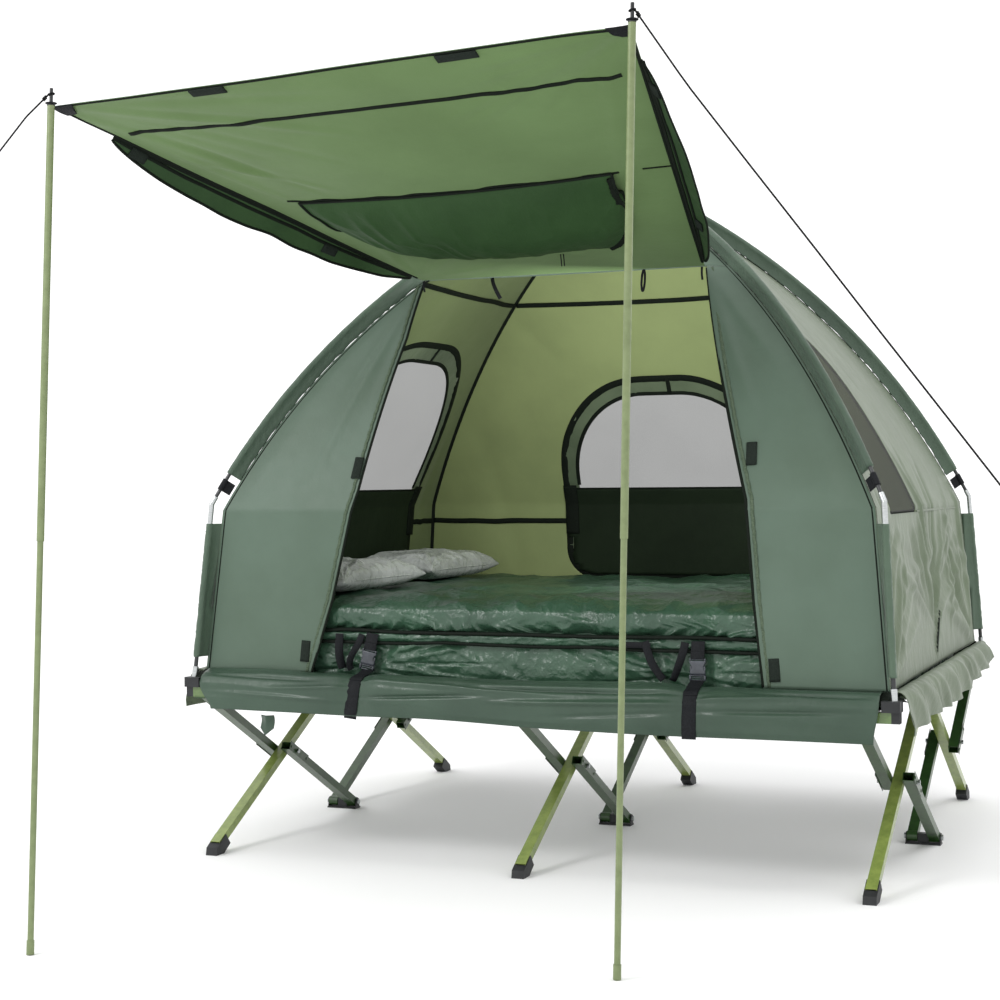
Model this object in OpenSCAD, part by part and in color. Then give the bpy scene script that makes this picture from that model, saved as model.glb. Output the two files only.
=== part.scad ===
/* [Cot frame] */
// Half the distance between the front and rear rails, and the reach of one scissor cell
half_w = 783; // [700:1:820]
// Distance from the middle leg station to each end one
station = 885; // [840:1:900]
// Height of the rail centres above the floor
rail_z = 440; // [420:1:460]
// Height of the leg pivots above the floor
foot_z = 20; // [18:1:24]
// Width of a leg tube along the cot
tube_w = 28; // [24:1:28]
// Depth of a leg tube
tube_d = 22; // [18:1:22]
// Side of the square front and rear rails
rail_s = 26; // [22:1:26]
// Diameter of the round middle rail
mid_rail_d = 22; // [20:1:24]
// Half the overall length of the rails with their caps
rail_half = 958; // [950:1:965]

/* [Dome tent] */
// Half length at the pole elbows
elbow_x = 913; // [900:1:920]
// Height of the pole elbows
elbow_z = 947; // [900:1:980]
// Radius of the long arc of a hoop
arc_r = 2100; // [2050:5:2200]
// Hoop's slope from level at the elbow
arc_low = 60; // [58:1:62]
// Hoop's slope from level where the crown arc starts
arc_high = 26; // [24:1:28]
// Distance from the hoops to the fabric
inset = 35; // [30:1:40]
// Height of the lower edge of the walls
wall_z = 495; // [493:1:500]
// Half length of the tent at that edge
wall_x = 928; // [920:1:930]
// Diameter of the posts and hoops
pole_d = 11; // [9:0.5:12]

/* [Door and awning] */
// Height of the awning's hinge line
door_z = 1570; // [1540:1:1590]
// Distance of the hinge line in front of the centre
door_y = 361; // [355:1:365]
// Outside diameter of the upper pole tubes
upper_d = 16.4; // [16:0.1:18]
// Bore of the upper pole tubes
upper_bore = 13.6; // [13:0.1:14]
// Outside diameter of the lower pole tubes
lower_d = 13.5; // [12:0.1:13.9]
// Length of the lower pole tubes, measured from the floor
lower_len = 940; // [900:5:960]

/* [Bedding] */
// Half length of the mattress
bed_x = 905; // [880:1:910]
// Half width of the mattress
bed_y = 715; // [700:1:720]
// Top of the mattress
mattress_top = 580; // [570:1:585]
// Top of the sleeping bag's flat base
base_top = 607; // [600:1:612]
// Top of the quilted cover
quilt_top = 700; // [680:1:710]

/* [Hidden] */
$fn = 32;

// Leg linkage
rise = rail_z - foot_z;
bar_len = sqrt(half_w * half_w + rise * rise);
bar_angle = atan2(rise, half_w);
cross_s = bar_len / 2;
lane = 30;          // side step of the inner legs' two halves
wall_t = 1.5;       // tube wall
eye_r = 16;
low_eye_r = 14;
axle_d = 10;
bolt_d = 8;
run = 0.05;         // radial running clearance
top_gap = 48;       // the outer tubes stop this far from the middle rail
half_lap = 40;      // the inner halves pass the crossing by this much
stations = [-station, 0, station];

// Dome profile, d measured along a hoop's diagonal
side_k = sqrt(1.64);  // diagonal distance for each unit along the cot
y_k = 0.8;            // distance across for each unit along the cot
elbow_d = elbow_x * side_k;
arc_cd = elbow_d - arc_r * sin(arc_low);
arc_cz = elbow_z - arc_r * cos(arc_low);
crown_d = arc_cd + arc_r * sin(arc_high);
crown_r = crown_d / sin(arc_high);
crown_z0 = arc_cz + arc_r * cos(arc_high) - crown_r * cos(arc_high);
hoop_top = crown_z0 + crown_r;
diag = atan2(y_k, 1);
post_base_x = 942.6;
post_base_y = 779;
post_base_z = 478;
elbow_y = y_k * elbow_x;
fabric_t = 4;

// Awning
corner_l = [-773, -1650, 1847];
corner_r = [557, -1560, 1922];
hinge_x0 = -440;
hinge_x1 = 380;
foot_l = [-700, -1863, 0];
foot_r = [535, -1628, 0];
top_l = [-758, -1675, 1850];
top_r = [568, -1585, 1925];
rope_d = 4;
rope_l = [[-764, -1676, 1869.5], [-820, -1681, 1824], [-868, -1687, 1771], [-915, -1694, 1718], [-960, -1700, 1668]];
rope_r = [[574.2, -1585, 1943], [680, -1584, 1786], [804, -1583, 1620], [928, -1581, 1455], [1052, -1580, 1289],
          [1177, -1579, 1123], [1303, -1578, 955]];

// ---------- helpers ----------
module along(ya, za, yb, zb) {
  translate([0, ya, za]) rotate([atan2(zb - za, yb - ya), 0, 0]) children();
}
module tube_bar(x, s0, s1) {
  difference() {
    translate([x - tube_w / 2, s0, -tube_d / 2]) cube([tube_w, s1 - s0, tube_d]);
    translate([x - tube_w / 2 + wall_t, s0 - 1, -tube_d / 2 + wall_t])
      cube([tube_w - 2 * wall_t, s1 - s0 + 2, tube_d - 2 * wall_t]);
  }
}
module x_rod(r, x0, x1, s = 0, z = 0) {
  translate([x0, s, z]) rotate([0, 90, 0]) cylinder(r = r, h = x1 - x0, $fn = 48);
}
module four() {
  children();
  mirror([1, 0, 0]) children();
  mirror([0, 1, 0]) children();
  mirror([1, 0, 0]) mirror([0, 1, 0]) children();
}
module between(p, q) {
  v = q - p;
  translate(p) rotate([0, atan2(norm([v[0], v[1]]), v[2]), atan2(v[1], v[0])]) children();
}

// ---------- outer legs: a foot on the floor, an eye on the middle rail ----------
module outer_leg(eye_x0, eye_x1, eye_bore) {
  along(-half_w, foot_z, 0, rail_z) difference() {
    union() {
      tube_bar(0, 10, bar_len - top_gap);
      translate([eye_x0, bar_len - top_gap - 30, -8]) cube([eye_x1 - eye_x0, top_gap + 22, 16]);
      x_rod(eye_r, eye_x0, eye_x1, bar_len);
    }
    x_rod(bolt_d / 2 + run, -tube_w, tube_w, cross_s);
    x_rod(eye_bore / 2, -tube_w, tube_w, bar_len);
  }
}
module front_outer_legs() {
  color("#75875a") for (x = stations) translate([x, 0, 0]) outer_leg(-tube_w / 2, -1, mid_rail_d);
}
module rear_outer_legs() {
  color("#75875a") for (x = stations) translate([x, 0, 0])
    rotate([0, 0, 180]) outer_leg(-tube_w / 2, -1, mid_rail_d + 2 * run);
}
module foot_shoe() {
  shoe_w = tube_w + 5;
  toe = 16;
  difference() {
    translate([-shoe_w / 2, 0, 0]) rotate([90, 0, 90]) linear_extrude(shoe_w)
      polygon([[-half_w - toe, 0], [-half_w + 26, 0],
               [-half_w + 26 + 38 * cos(bar_angle), 4 + 38 * sin(bar_angle)],
               [-half_w + 49 - 27 * sin(bar_angle), 26 + 27 * cos(bar_angle)],
               [-half_w - toe + 4, 20]]);
    along(-half_w, foot_z, 0, rail_z)
      translate([-tube_w / 2, 10, -tube_d / 2]) cube([tube_w, 120, tube_d]);
  }
}
module front_foot_shoes() {
  color("#23272a") for (x = stations) translate([x, 0, 0]) foot_shoe();
}
module rear_foot_shoes() {
  color("#23272a") for (x = stations) translate([x, 0, 0]) rotate([0, 0, 180]) foot_shoe();
}

// ---------- inner legs: the centre foot to a side rail, stepped round the outer leg ----------
module inner_leg() {
  along(0, foot_z, half_w, rail_z) difference() {
    union() {
      tube_bar(-lane, 8, cross_s + half_lap);
      x_rod(low_eye_r, -lane - tube_w / 2, -lane + tube_w / 2);
      tube_bar(lane, cross_s - half_lap, bar_len - 19);
    }
    x_rod(axle_d / 2 + run, -2 * lane, 0);
    x_rod(bolt_d / 2 + 0.1, -2 * lane, 2 * lane, cross_s);
  }
  translate([lane - tube_w / 2 - 1.5, half_w - 40, rail_z - rail_s / 2 - 4])
    cube([tube_w + 3, 56, 3.9]);
}
module rear_inner_legs() {
  color("#4d6a3a") for (x = stations) translate([x, 0, 0]) inner_leg();
}
module front_inner_legs() {
  color("#4d6a3a") for (x = stations) translate([x, 0, 0]) rotate([0, 0, 180]) inner_leg();
}
module gusset_plate(x, s0, s1) {
  difference() {
    union() {
      translate([x, s0, -13]) cube([1.6, s1 - s0, 26]);
      for (s = [s0 + 10, s1 - 10]) x_rod(4, x - 1.6, x + 3.2, s);
    }
    x_rod(bolt_d / 2 + 0.1, x - 1, x + 3, cross_s);
  }
}
module gussets() {
  along(0, foot_z, half_w, rail_z) {
    mirror([1, 0, 0]) gusset_plate(lane + tube_w / 2 + 1.7, cross_s - 75, cross_s + 45);
    gusset_plate(lane + tube_w / 2 + 1.7, cross_s - 45, cross_s + 75);
  }
}
module rear_gussets() {
  color("#3e5a30") for (x = stations) translate([x, 0, 0]) gussets();
}
module front_gussets() {
  color("#3e5a30") for (x = stations) translate([x, 0, 0]) rotate([0, 0, 180]) gussets();
}
module pivot_bolt() {
  head = lane + tube_w / 2 + 5.2;
  along(0, foot_z, half_w, rail_z) {
    x_rod(bolt_d / 2, -head, head, cross_s);
    for (m = [0, 1]) mirror([m, 0, 0]) {
      x_rod(7.5, tube_w / 2 + 0.2, tube_w / 2 + 1.8, cross_s);
      translate([head, cross_s, 0]) rotate([0, 90, 0]) cylinder(r = 7, h = 5, $fn = 6);
    }
  }
}
module rear_pivot_bolts() {
  color("#9aa0a0") for (x = stations) translate([x, 0, 0]) pivot_bolt();
}
module front_pivot_bolts() {
  color("#9aa0a0") for (x = stations) translate([x, 0, 0]) rotate([0, 0, 180]) pivot_bolt();
}

// ---------- centre feet ----------
bracket_in = lane + tube_w / 2 + 1;
module centre_foot_pads() {
  color("#1c1f21") for (x = stations) translate([x - bracket_in - 3, -18, 0])
    cube([2 * bracket_in + 6, 36, 3]);
}
module centre_brackets() {
  color("#25292c") for (x = stations) translate([x, 0, 0]) difference() {
    union() {
      translate([-bracket_in - 2.5, -16, 3]) cube([2 * bracket_in + 5, 32, 2.5]);
      for (m = [0, 1]) mirror([m, 0, 0]) {
        translate([bracket_in, -12, 4]) cube([2.5, 24, foot_z - 4]);
        x_rod(12, bracket_in, bracket_in + 2.5, 0, foot_z);
      }
      translate([-lane + tube_w / 2 + 1, -11, 4]) cube([2 * lane - tube_w - 2, 22, foot_z + 6]);
    }
    x_rod(axle_d / 2, -2 * lane, 2 * lane, 0, foot_z);
  }
}
module centre_axles() {
  head = bracket_in + 2.5;
  color("#8d9394") for (x = stations) translate([x, 0, foot_z]) {
    x_rod(axle_d / 2, -head, head);
    for (m = [0, 1]) mirror([m, 0, 0]) translate([head, 0, 0]) rotate([0, 90, 0])
      cylinder(r = 8, h = 5, $fn = 6);
  }
}

// ---------- rails ----------
cap_len = 20;
module side_rail(y) {
  x1 = rail_half - cap_len;
  difference() {
    translate([-x1, y - rail_s / 2, rail_z - rail_s / 2]) cube([2 * x1, rail_s, rail_s]);
    translate([-x1 - 1, y - rail_s / 2 + wall_t, rail_z - rail_s / 2 + wall_t])
      cube([2 * x1 + 2, rail_s - 2 * wall_t, rail_s - 2 * wall_t]);
  }
}
module side_caps(y) {
  plug = rail_s - 2 * wall_t - 0.4;
  for (m = [0, 1]) mirror([m, 0, 0]) {
    translate([rail_half - cap_len, y - rail_s / 2, rail_z - rail_s / 2]) cube([cap_len, rail_s, rail_s]);
    translate([rail_half - cap_len - 22, y - plug / 2, rail_z - plug / 2]) cube([22.5, plug, plug]);
  }
}
module front_rail() { color("#5f7549") side_rail(-half_w); }
module rear_rail() { color("#5f7549") side_rail(half_w); }
module front_rail_caps() { color("#2b2e31") side_caps(-half_w); }
module rear_rail_caps() { color("#2b2e31") side_caps(half_w); }
module middle_rail() {
  color("#5f7549") difference() {
    x_rod(mid_rail_d / 2, -rail_half + cap_len + 20, rail_half - cap_len - 20, 0, rail_z);
    x_rod(mid_rail_d / 2 - wall_t, -rail_half, rail_half, 0, rail_z);
  }
}
module middle_rail_caps() {
  color("#2b2e31") for (m = [0, 1]) mirror([m, 0, 0]) {
    x_rod(mid_rail_d / 2, rail_half - cap_len - 20, rail_half - cap_len - 14, 0, rail_z);
    x_rod(mid_rail_d / 2 - wall_t - 0.2, rail_half - cap_len - 40, rail_half - cap_len - 19, 0, rail_z);
  }
}
deck_z = rail_z + eye_r + 0.5;
module canvas_deck() {
  color("#31402f") translate([-912, -half_w - 12, deck_z]) cube([1824, 2 * half_w + 24, 2]);
}

// ---------- end bars, corner blocks and posts ----------
bar_x = 930;
bar_z = rail_z + rail_s / 2 + 15;
block_z0 = rail_z + rail_s / 2 + 0.6;
block_z1 = 480;
module end_bars() {
  color("#5f7549") for (m = [0, 1]) mirror([m, 0, 0])
    translate([bar_x, -half_w + 13, bar_z]) rotate([-90, 0, 0]) difference() {
      cylinder(r = 10, h = 2 * half_w - 26, $fn = 48);
      translate([0, 0, -1]) cylinder(r = 8.6, h = 2 * half_w, $fn = 48);
    }
}
module corner_blocks() {
  color("#2b2e31") four() difference() {
    translate([916, half_w - 21, block_z0]) cube([44, 42, block_z1 - block_z0]);
    translate([bar_x, half_w - 30, bar_z]) rotate([-90, 0, 0]) cylinder(r = 10, h = 17, $fn = 48);
    between(post_lo, post_hi) translate([0, 0, -6]) cylinder(r = 8.05, h = 20, $fn = 48);
  }
}
module pole_sockets() {
  color("#b9bdbd") four() between(post_lo, post_hi) difference() {
    translate([0, 0, -6]) cylinder(r = 8, h = 34, $fn = 48);
    translate([0, 0, 2]) cylinder(r = 6.6, h = 40, $fn = 48);
  }
}
post_lo = [post_base_x, post_base_y, post_base_z + 1];
post_hi = [elbow_x, elbow_y, elbow_z];
post_len = norm(post_hi - post_lo);
module corner_posts() {
  color("#1d2022") four() between(post_lo, post_hi)
    translate([0, 0, 3]) cylinder(r = pole_d / 2, h = post_len - 32);
}
// in a hoop's plane: local X is the diagonal distance, local Y is up
module hoop_plane() { rotate([90, 0, diag]) children(); }
module arc_tube(cd, cz, r, a0, a1, ro, ri = 0) {
  translate([cd, cz, 0]) rotate([0, 0, a0]) rotate_extrude(angle = a1 - a0, $fn = 96)
    translate([r, 0]) difference() {
      circle(r = ro, $fn = 24);
      if (ri > 0) circle(r = ri, $fn = 24);
    }
}
elbow_a = 0.6;   // arc degrees of hoop that the elbow covers
module elbow_tubes() {
  color("#c3c7c6") four() {
    between(post_lo, post_hi) translate([0, 0, post_len - 60]) difference() {
      cylinder(r = 7, h = 62);
      translate([0, 0, -1]) cylinder(r = pole_d / 2 + 0.1, h = 32);
    }
    hoop_plane() arc_tube(arc_cd, arc_cz, arc_r, 90 - arc_low - 0.1, 90 - arc_low + elbow_a, 7);
    translate(post_hi) sphere(r = 7.2);
  }
}
hub_r = 34;
joint_a = 0.01;  // the hairline between a hoop's two arcs
hub_a = asin(hub_r / crown_r);
module dome_hoops() {
  color("#3a4038") four() hoop_plane() {
    arc_tube(arc_cd, arc_cz, arc_r, 90 - arc_low + elbow_a, 90 - arc_high - joint_a, pole_d / 2 - 0.5);
    arc_tube(0, crown_z0, crown_r, 90 - arc_high, 90 - hub_a, pole_d / 2 - 0.5);
  }
}
module apex_hub() {
  color("#1d2022") translate([0, 0, hoop_top - 12]) difference() {
    cylinder(r = hub_r, h = 20, $fn = 64);
    translate([0, 0, -1]) cylinder(r = 9, h = 30, $fn = 32);
    four() translate([0, 0, 12 - hoop_top]) hoop_plane()
      arc_tube(0, crown_z0, crown_r, 90 - arc_high, 88, pole_d / 2 - 0.4);
  }
}
module sleeve_section(a0, a1, cd, cz, r) {
  translate([cd, cz, 0]) rotate([0, 0, a0]) rotate_extrude(angle = a1 - a0, $fn = 96) difference() {
    union() {
      translate([r, 0]) circle(r = 8, $fn = 16);
      translate([r - inset + 5, -1.2]) square([inset - 5, 2.4]);
    }
    translate([r, 0]) circle(r = pole_d / 2 + 0.3, $fn = 24);
  }
}
module pole_sleeves() {
  color("#5d7a5f") four() {
    hoop_plane() {
      sleeve_section(90 - arc_low + 2.8, 90 - arc_high - joint_a, arc_cd, arc_cz, arc_r);
      sleeve_section(90 - arc_high + 0.1, 90 - hub_a - 1, 0, crown_z0, crown_r);
    }
    between(post_lo, post_hi) difference() {
      union() {
        translate([0, 0, 55]) cylinder(r = 8, h = post_len - 120, $fn = 64);
        rotate([0, 0, -40]) translate([-25, -1.2, 57]) cube([18.5, 2.4, post_len - 124]);
      }
      translate([0, 0, 50]) cylinder(r = pole_d / 2 + 0.3, h = post_len);
    }
  }
}
module web_tabs() {
  color("#151718") four() hoop_plane()
    sleeve_section(90 - arc_low + 1.2, 90 - arc_low + 2.1, arc_cd, arc_cz, arc_r);
}

// ---------- tent fabric ----------
function lean(z, off) = wall_x * side_k + off
  + (arc_cd + (arc_r - inset) * sin(arc_low) - wall_x * side_k)
  * (z - wall_z) / (arc_cz + (arc_r - inset) * cos(arc_low) - wall_z);
function fabric_line(off) = concat(
  [[lean(wall_z, off), wall_z]],
  [for (a = [90 - arc_low : 2.8333 : 90 - arc_high])
    [arc_cd + (arc_r - inset + off) * cos(a), arc_cz + (arc_r - inset + off) * sin(a)]],
  [for (a = [90 - arc_high + 4 : 4 : 86])
    [(crown_r - inset + off) * cos(a), crown_z0 + (crown_r - inset + off) * sin(a)]],
  [[0, crown_z0 + crown_r - inset + off]]);
function rev(v) = [for (i = [len(v) - 1 : -1 : 0]) v[i]];
// a shell over one face: k turns diagonal distance into distance along the face's normal
module face_shell(k, off = 0, t = fabric_t) {
  outer = [for (p = fabric_line(off + t / 2)) [p[0] * k, p[1]]];
  inner = [for (p = fabric_line(off - t / 2)) [p[0] * k, p[1]]];
  rotate([90, 0, 90]) translate([0, 0, -1000]) linear_extrude(2000) polygon(concat(outer, rev(inner)));
}
// the quarter of the plan between two hoops, opening along +Y (front faces are turned)
module back_wedge() {
  linear_extrude(2000) polygon([[0, 0.6], [1250, 1000.6], [-1250, 1000.6]]);
}
module side_wedge() {
  linear_extrude(2000) polygon([[0.6, 0], [1200.6, 960], [1200.6, -960]]);
}
module back_face(off = 0, t = fabric_t) {
  intersection() { face_shell(y_k / side_k, off, t); back_wedge(); }
}
module front_face(off = 0, t = fabric_t) { mirror([0, 1, 0]) back_face(off, t); }
module right_face(off = 0, t = fabric_t) {
  intersection() { rotate([0, 0, -90]) face_shell(1 / side_k, off, t); side_wedge(); }
}
module left_face(off = 0, t = fabric_t) { mirror([1, 0, 0]) right_face(off, t); }

// an arched window outline: width w, sill z0, crown z1, radius r0 at the sill's corners
module arch(w, z0, z1, r0) {
  r = w * 0.42;
  hw = w / 2;
  polygon(concat(
    [for (a = [180 : 15 : 270]) [-hw + r0 + r0 * cos(a), z0 + r0 + r0 * sin(a)]],
    [for (a = [270 : 15 : 360]) [hw - r0 + r0 * cos(a), z0 + r0 + r0 * sin(a)]],
    [for (a = [0 : 15 : 90]) [hw - r + r * cos(a), z1 - r + r * sin(a)]],
    [for (a = [90 : 15 : 180]) [-hw + r + r * cos(a), z1 - r + r * sin(a)]]));
}
// each window: width, sill, crown, sideways place, sill corner radius; g makes it smaller
back_win = [740, 690, 1330, -20, 90];
left_win = [960, 690, 1420, 40, 90];
right_win = [400, 912, 1410, -310, 14];
module win_arch(w, g) { arch(w[0] - g, w[1] + g / 2, w[2] - g / 2, w[4]); }
module back_hole(g = 0) {
  translate([back_win[3], 1000, 0]) rotate([90, 0, 0]) linear_extrude(900) win_arch(back_win, g);
}
module side_hole(w, g) {
  translate([50, w[3], 0]) rotate([90, 0, 90]) linear_extrude(1200) win_arch(w, g);
}
module left_hole(g = 0) { mirror([1, 0, 0]) side_hole(left_win, g); }
module right_hole(g = 0) { side_hole(right_win, g); }
module back_wall() { color("#7f9560") difference() { back_face(); back_hole(); } }
module left_wall() { color("#7f9560") difference() { left_face(); left_hole(); } }
module right_wall() { color("#93a27c") difference() { right_face(); right_hole(); } }
module window_meshes() {
  color("#3b4440") {
    intersection() { back_face(0, 2.4); back_hole(1); }
    intersection() { left_face(0, 2.4); left_hole(1); }
    intersection() { right_face(0, 2.4); right_hole(1); }
  }
}
module below(z) { translate([-1200, -1200, 0]) cube([2400, 2400, z]); }
module window_flaps() {
  color("#22312a") {
    intersection() { back_face(-9, 3); back_hole(16); below(984); }
    intersection() { left_face(-9, 3); left_hole(16); below(984); }
  }
}
// the doorway, front view, closed below by the sill
door_left = [[-609, 400], [-606, 503], [-550, 691], [-489, 982], [-440, 1400], [-440, door_z]];
door_right = [[380, door_z], [571, 951], [594, 708], [620, 503], [623, 400]];
module front_cut(points) {
  rotate([90, 0, 0]) linear_extrude(1000) polygon(points);
}
module front_left_panel() {
  color("#5a7560") intersection() {
    front_face();
    front_cut(concat([[-1100, 400]], door_left, [[-1100, door_z]]));
  }
}
module front_right_panel() {
  color("#5a7560") intersection() {
    front_face();
    front_cut(concat([[1100, door_z]], door_right, [[1100, 400]]));
  }
}
module front_roof_panel() {
  color("#5a7560") intersection() {
    front_face();
    front_cut([[-1000, door_z + 0.4], [1000, door_z + 0.4], [1000, 2000], [-1000, 2000]]);
  }
}
module tent_floor() {
  color("#2c3b2e") translate([-914, -756, deck_z + 2.4]) cube([1828, 1512, 1.8]);
}
module skirt(line, thick, x0, x1) {
  out = [for (p = line) p];
  in = [for (i = [len(line) - 1 : -1 : 0]) [line[i][0] - thick, line[i][1] - thick * 0.9]];
  rotate([90, 0, 90]) translate([0, 0, x0]) linear_extrude(x1 - x0) polygon(concat(out, in));
}
front_line = [[739, 490], [756, 496], [778, 494], [795, 484], [806, 466], [811, 440], [811, 405], [806, 372]];
end_line = [[929, 490], [940, 497], [954, 497], [968, 484], [975, 462], [977, 430], [975, 392]];
module rear_skirt() { color("#3c5a44") skirt(front_line, 4, -911, 911); }
module front_skirt() { color("#3c5a44") mirror([0, 1, 0]) skirt(front_line, 4, -911, 911); }
module end_skirts() {
  color("#8b9a77") for (a = [-90, 90]) rotate([0, 0, a]) skirt(end_line, 4, -756, 756);
}

// ---------- bedding ----------
module round_box(x0, x1, y0, y1, z0, z1, r) {
  translate([0, 0, z0]) linear_extrude(z1 - z0) {
    translate([x0 + r, y0]) square([x1 - x0 - 2 * r, y1 - y0]);
    translate([x0, y0 + r]) square([x1 - x0, y1 - y0 - 2 * r]);
    for (x = [x0 + r, x1 - r], y = [y0 + r, y1 - r]) translate([x, y]) circle(r = r, $fn = 32);
  }
}
floor_top = deck_z + 4.6;
module mattress() {
  color("#3d5a45") round_box(-bed_x, bed_x, -bed_y, bed_y, floor_top, mattress_top, 40);
}
module sleeping_bag_base() {
  color("#34503c") round_box(-bed_x, bed_x, -bed_y, bed_y, mattress_top + 0.4, base_top, 40);
}
module sleeping_bag_quilt() {
  color("#34503c") round_box(-bed_x + 5, bed_x - 5, -bed_y + 5, bed_y - 5, base_top + 0.4, quilt_top, 50);
}
module pillows() {
  color("#a9acab") {
    round_box(-872, -552, -650, -130, quilt_top + 0.6, quilt_top + 82, 60);
    round_box(-872, -590, 20, 550, quilt_top + 0.6, quilt_top + 82, 60);
  }
}

// ---------- straps and side-release buckles ----------
strap_w = 36;
strap_x = [-448, 452];
buckle_z = 530;
strap_y = -bed_y - 3;
module lower_straps() {
  color("#17191a") for (x = strap_x) translate([x - strap_w / 2, 0, 0]) rotate([90, 0, 90])
    linear_extrude(strap_w) polygon([
      [strap_y - 2, buckle_z - 24], [strap_y - 30, 499], [strap_y - 60, 498.6], [strap_y - 80, 487],
      [strap_y - 92, 468], [strap_y - 96.5, 440], [strap_y - 96.5, 405], [strap_y - 91, 366],
      [strap_y - 94, 366], [strap_y - 99, 405], [strap_y - 99, 440], [strap_y - 94.5, 470],
      [strap_y - 82, 490], [strap_y - 61, 501.6], [strap_y - 31, 502], [strap_y - 6, buckle_z - 24]]);
}
module buckle_clips() {
  color("#101112") for (x = strap_x) translate([x, strap_y - 6, buckle_z]) {
    translate([-19, -6, -24]) cube([38, 12, 14]);
    translate([-4, -2.4, -11]) cube([8, 4.8, 26]);
    for (s = [-1, 1]) translate([s * 13 - 2.5, -2.4, -11]) cube([5, 4.8, 22]);
  }
}
module buckle_socket(x) {
  translate([x, strap_y - 6, buckle_z]) {
    difference() {
      translate([-21, -6, -9.6]) cube([42, 12, 40]);
      translate([-17, -3, -10]) cube([34, 6, 27]);
    }
    translate([-strap_w / 2, 1.6, 30.4]) cube([strap_w, 2, 40]);
  }
}
module left_buckle_socket() { color("#101112") buckle_socket(strap_x[0]); }
module right_buckle_socket() { color("#101112") buckle_socket(strap_x[1]); }

// ---------- awning ----------
function mix(a, b, t) = a + (b - a) * t;
function awning_point(u, v, dz) =
  mix(mix([hinge_x0, -door_y - 10, door_z], [hinge_x1, -door_y - 10, door_z], u),
      mix(corner_l, corner_r, u), v) + [0, 0, dz];
awn_n = 6;
module awning_panel() {
  top = [for (i = [0 : awn_n], j = [0 : awn_n]) awning_point(i / awn_n, j / awn_n, 2)];
  bottom = [for (i = [0 : awn_n], j = [0 : awn_n]) awning_point(i / awn_n, j / awn_n, -2)];
  m = awn_n + 1;
  n = m * m;
  color("#8ba072") polyhedron(concat(top, bottom), concat(
    [for (i = [0 : awn_n - 1], j = [0 : awn_n - 1], t = [0, 1]) let (a = i * m + j)
      t == 0 ? [a, a + 1, a + m + 1] : [a, a + m + 1, a + m]],
    [for (i = [0 : awn_n - 1], j = [0 : awn_n - 1], t = [0, 1]) let (a = n + i * m + j)
      t == 0 ? [a, a + m + 1, a + 1] : [a, a + m, a + m + 1]],
    [for (i = [0 : awn_n - 1], t = [0, 1]) let (a = i * m, b = a + m)
      t == 0 ? [a, b, n + b] : [a, n + b, n + a]],
    [for (i = [0 : awn_n - 1], t = [0, 1]) let (a = i * m + awn_n, b = a + m)
      t == 0 ? [a, n + b, b] : [a, n + a, n + b]],
    [for (j = [0 : awn_n - 1], t = [0, 1]) let (a = j, b = j + 1)
      t == 0 ? [a, n + b, b] : [a, n + a, n + b]],
    [for (j = [0 : awn_n - 1], t = [0, 1]) let (a = awn_n * m + j, b = a + 1)
      t == 0 ? [a, b, n + b] : [a, n + b, n + a]]));
}
// the inner door, gathered up under the awning: a sagging bag from one seam to the next
roll_x0 = -450;
roll_w = 770;
roll_sag = 72;
module rolled_door() {
  color("#2f4d36") rotate([90, 0, 90]) translate([0, 0, roll_x0]) linear_extrude(roll_w)
    polygon([for (t = [0 : 0.1 : 1])
      [-door_y - 171 - 453 * t, door_z + 27 + 98 * t - roll_sag * sin(180 * t)]]);
}
upper_start = 883;
module pole_pair(s0, s1_l, s1_r, r) {
  between(foot_l, top_l) translate([0, 0, s0]) cylinder(r = r, h = s1_l - s0, $fn = 48);
  between(foot_r, top_r) translate([0, 0, s0]) cylinder(r = r, h = s1_r - s0, $fn = 48);
}
len_l = norm(top_l - foot_l);
len_r = norm(top_r - foot_r);
module upper_pole_tubes() {
  color("#8c9c6d") difference() {
    pole_pair(upper_start, len_l - 6, len_r - 6, upper_d / 2);
    pole_pair(upper_start - 1, len_l - 12, len_r - 12, upper_bore / 2);
  }
}
module pole_tips() {
  color("#1c1f20") for (e = [[foot_l, top_l, len_l], [foot_r, top_r, len_r]]) between(e[0], e[1]) {
    translate([0, 0, e[2] - 5.8]) cylinder(r = upper_d / 2 + 0.6, h = 2.6, $fn = 32);
    translate([0, 0, e[2] - 4]) cylinder(r = 4, h = 38, $fn = 32);
  }
}
module corner_tabs() {
  color("#151718") for (p = [top_l, top_r]) translate(p + [0, 0, -1.5]) difference() {
    cylinder(r = 13, h = 3, $fn = 48);
    translate([0, 0, -1]) cylinder(r = 4.6, h = 6, $fn = 32);
  }
}
module lower_tube(p, q) {
  color("#8c9c6d") between(p, q) translate([0, 0, 6]) difference() {
    cylinder(r = lower_d / 2, h = lower_len - 6, $fn = 48);
    translate([0, 0, -1]) cylinder(r = lower_d / 2 - 1.2, h = lower_len, $fn = 48);
  }
}
module left_lower_tube() { lower_tube(foot_l, top_l); }
module right_lower_tube() { lower_tube(foot_r, top_r); }
module pole_foot(p, q) {
  color("#6c7a52") between(p, q) difference() {
    translate([0, 0, 1.2]) cylinder(r = 8.4, h = 30, $fn = 48);
    translate([0, 0, 6]) cylinder(r = lower_d / 2, h = 30, $fn = 48);
  }
}
module left_pole_foot() { pole_foot(foot_l, top_l); }
module right_pole_foot() { pole_foot(foot_r, top_r); }

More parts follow.
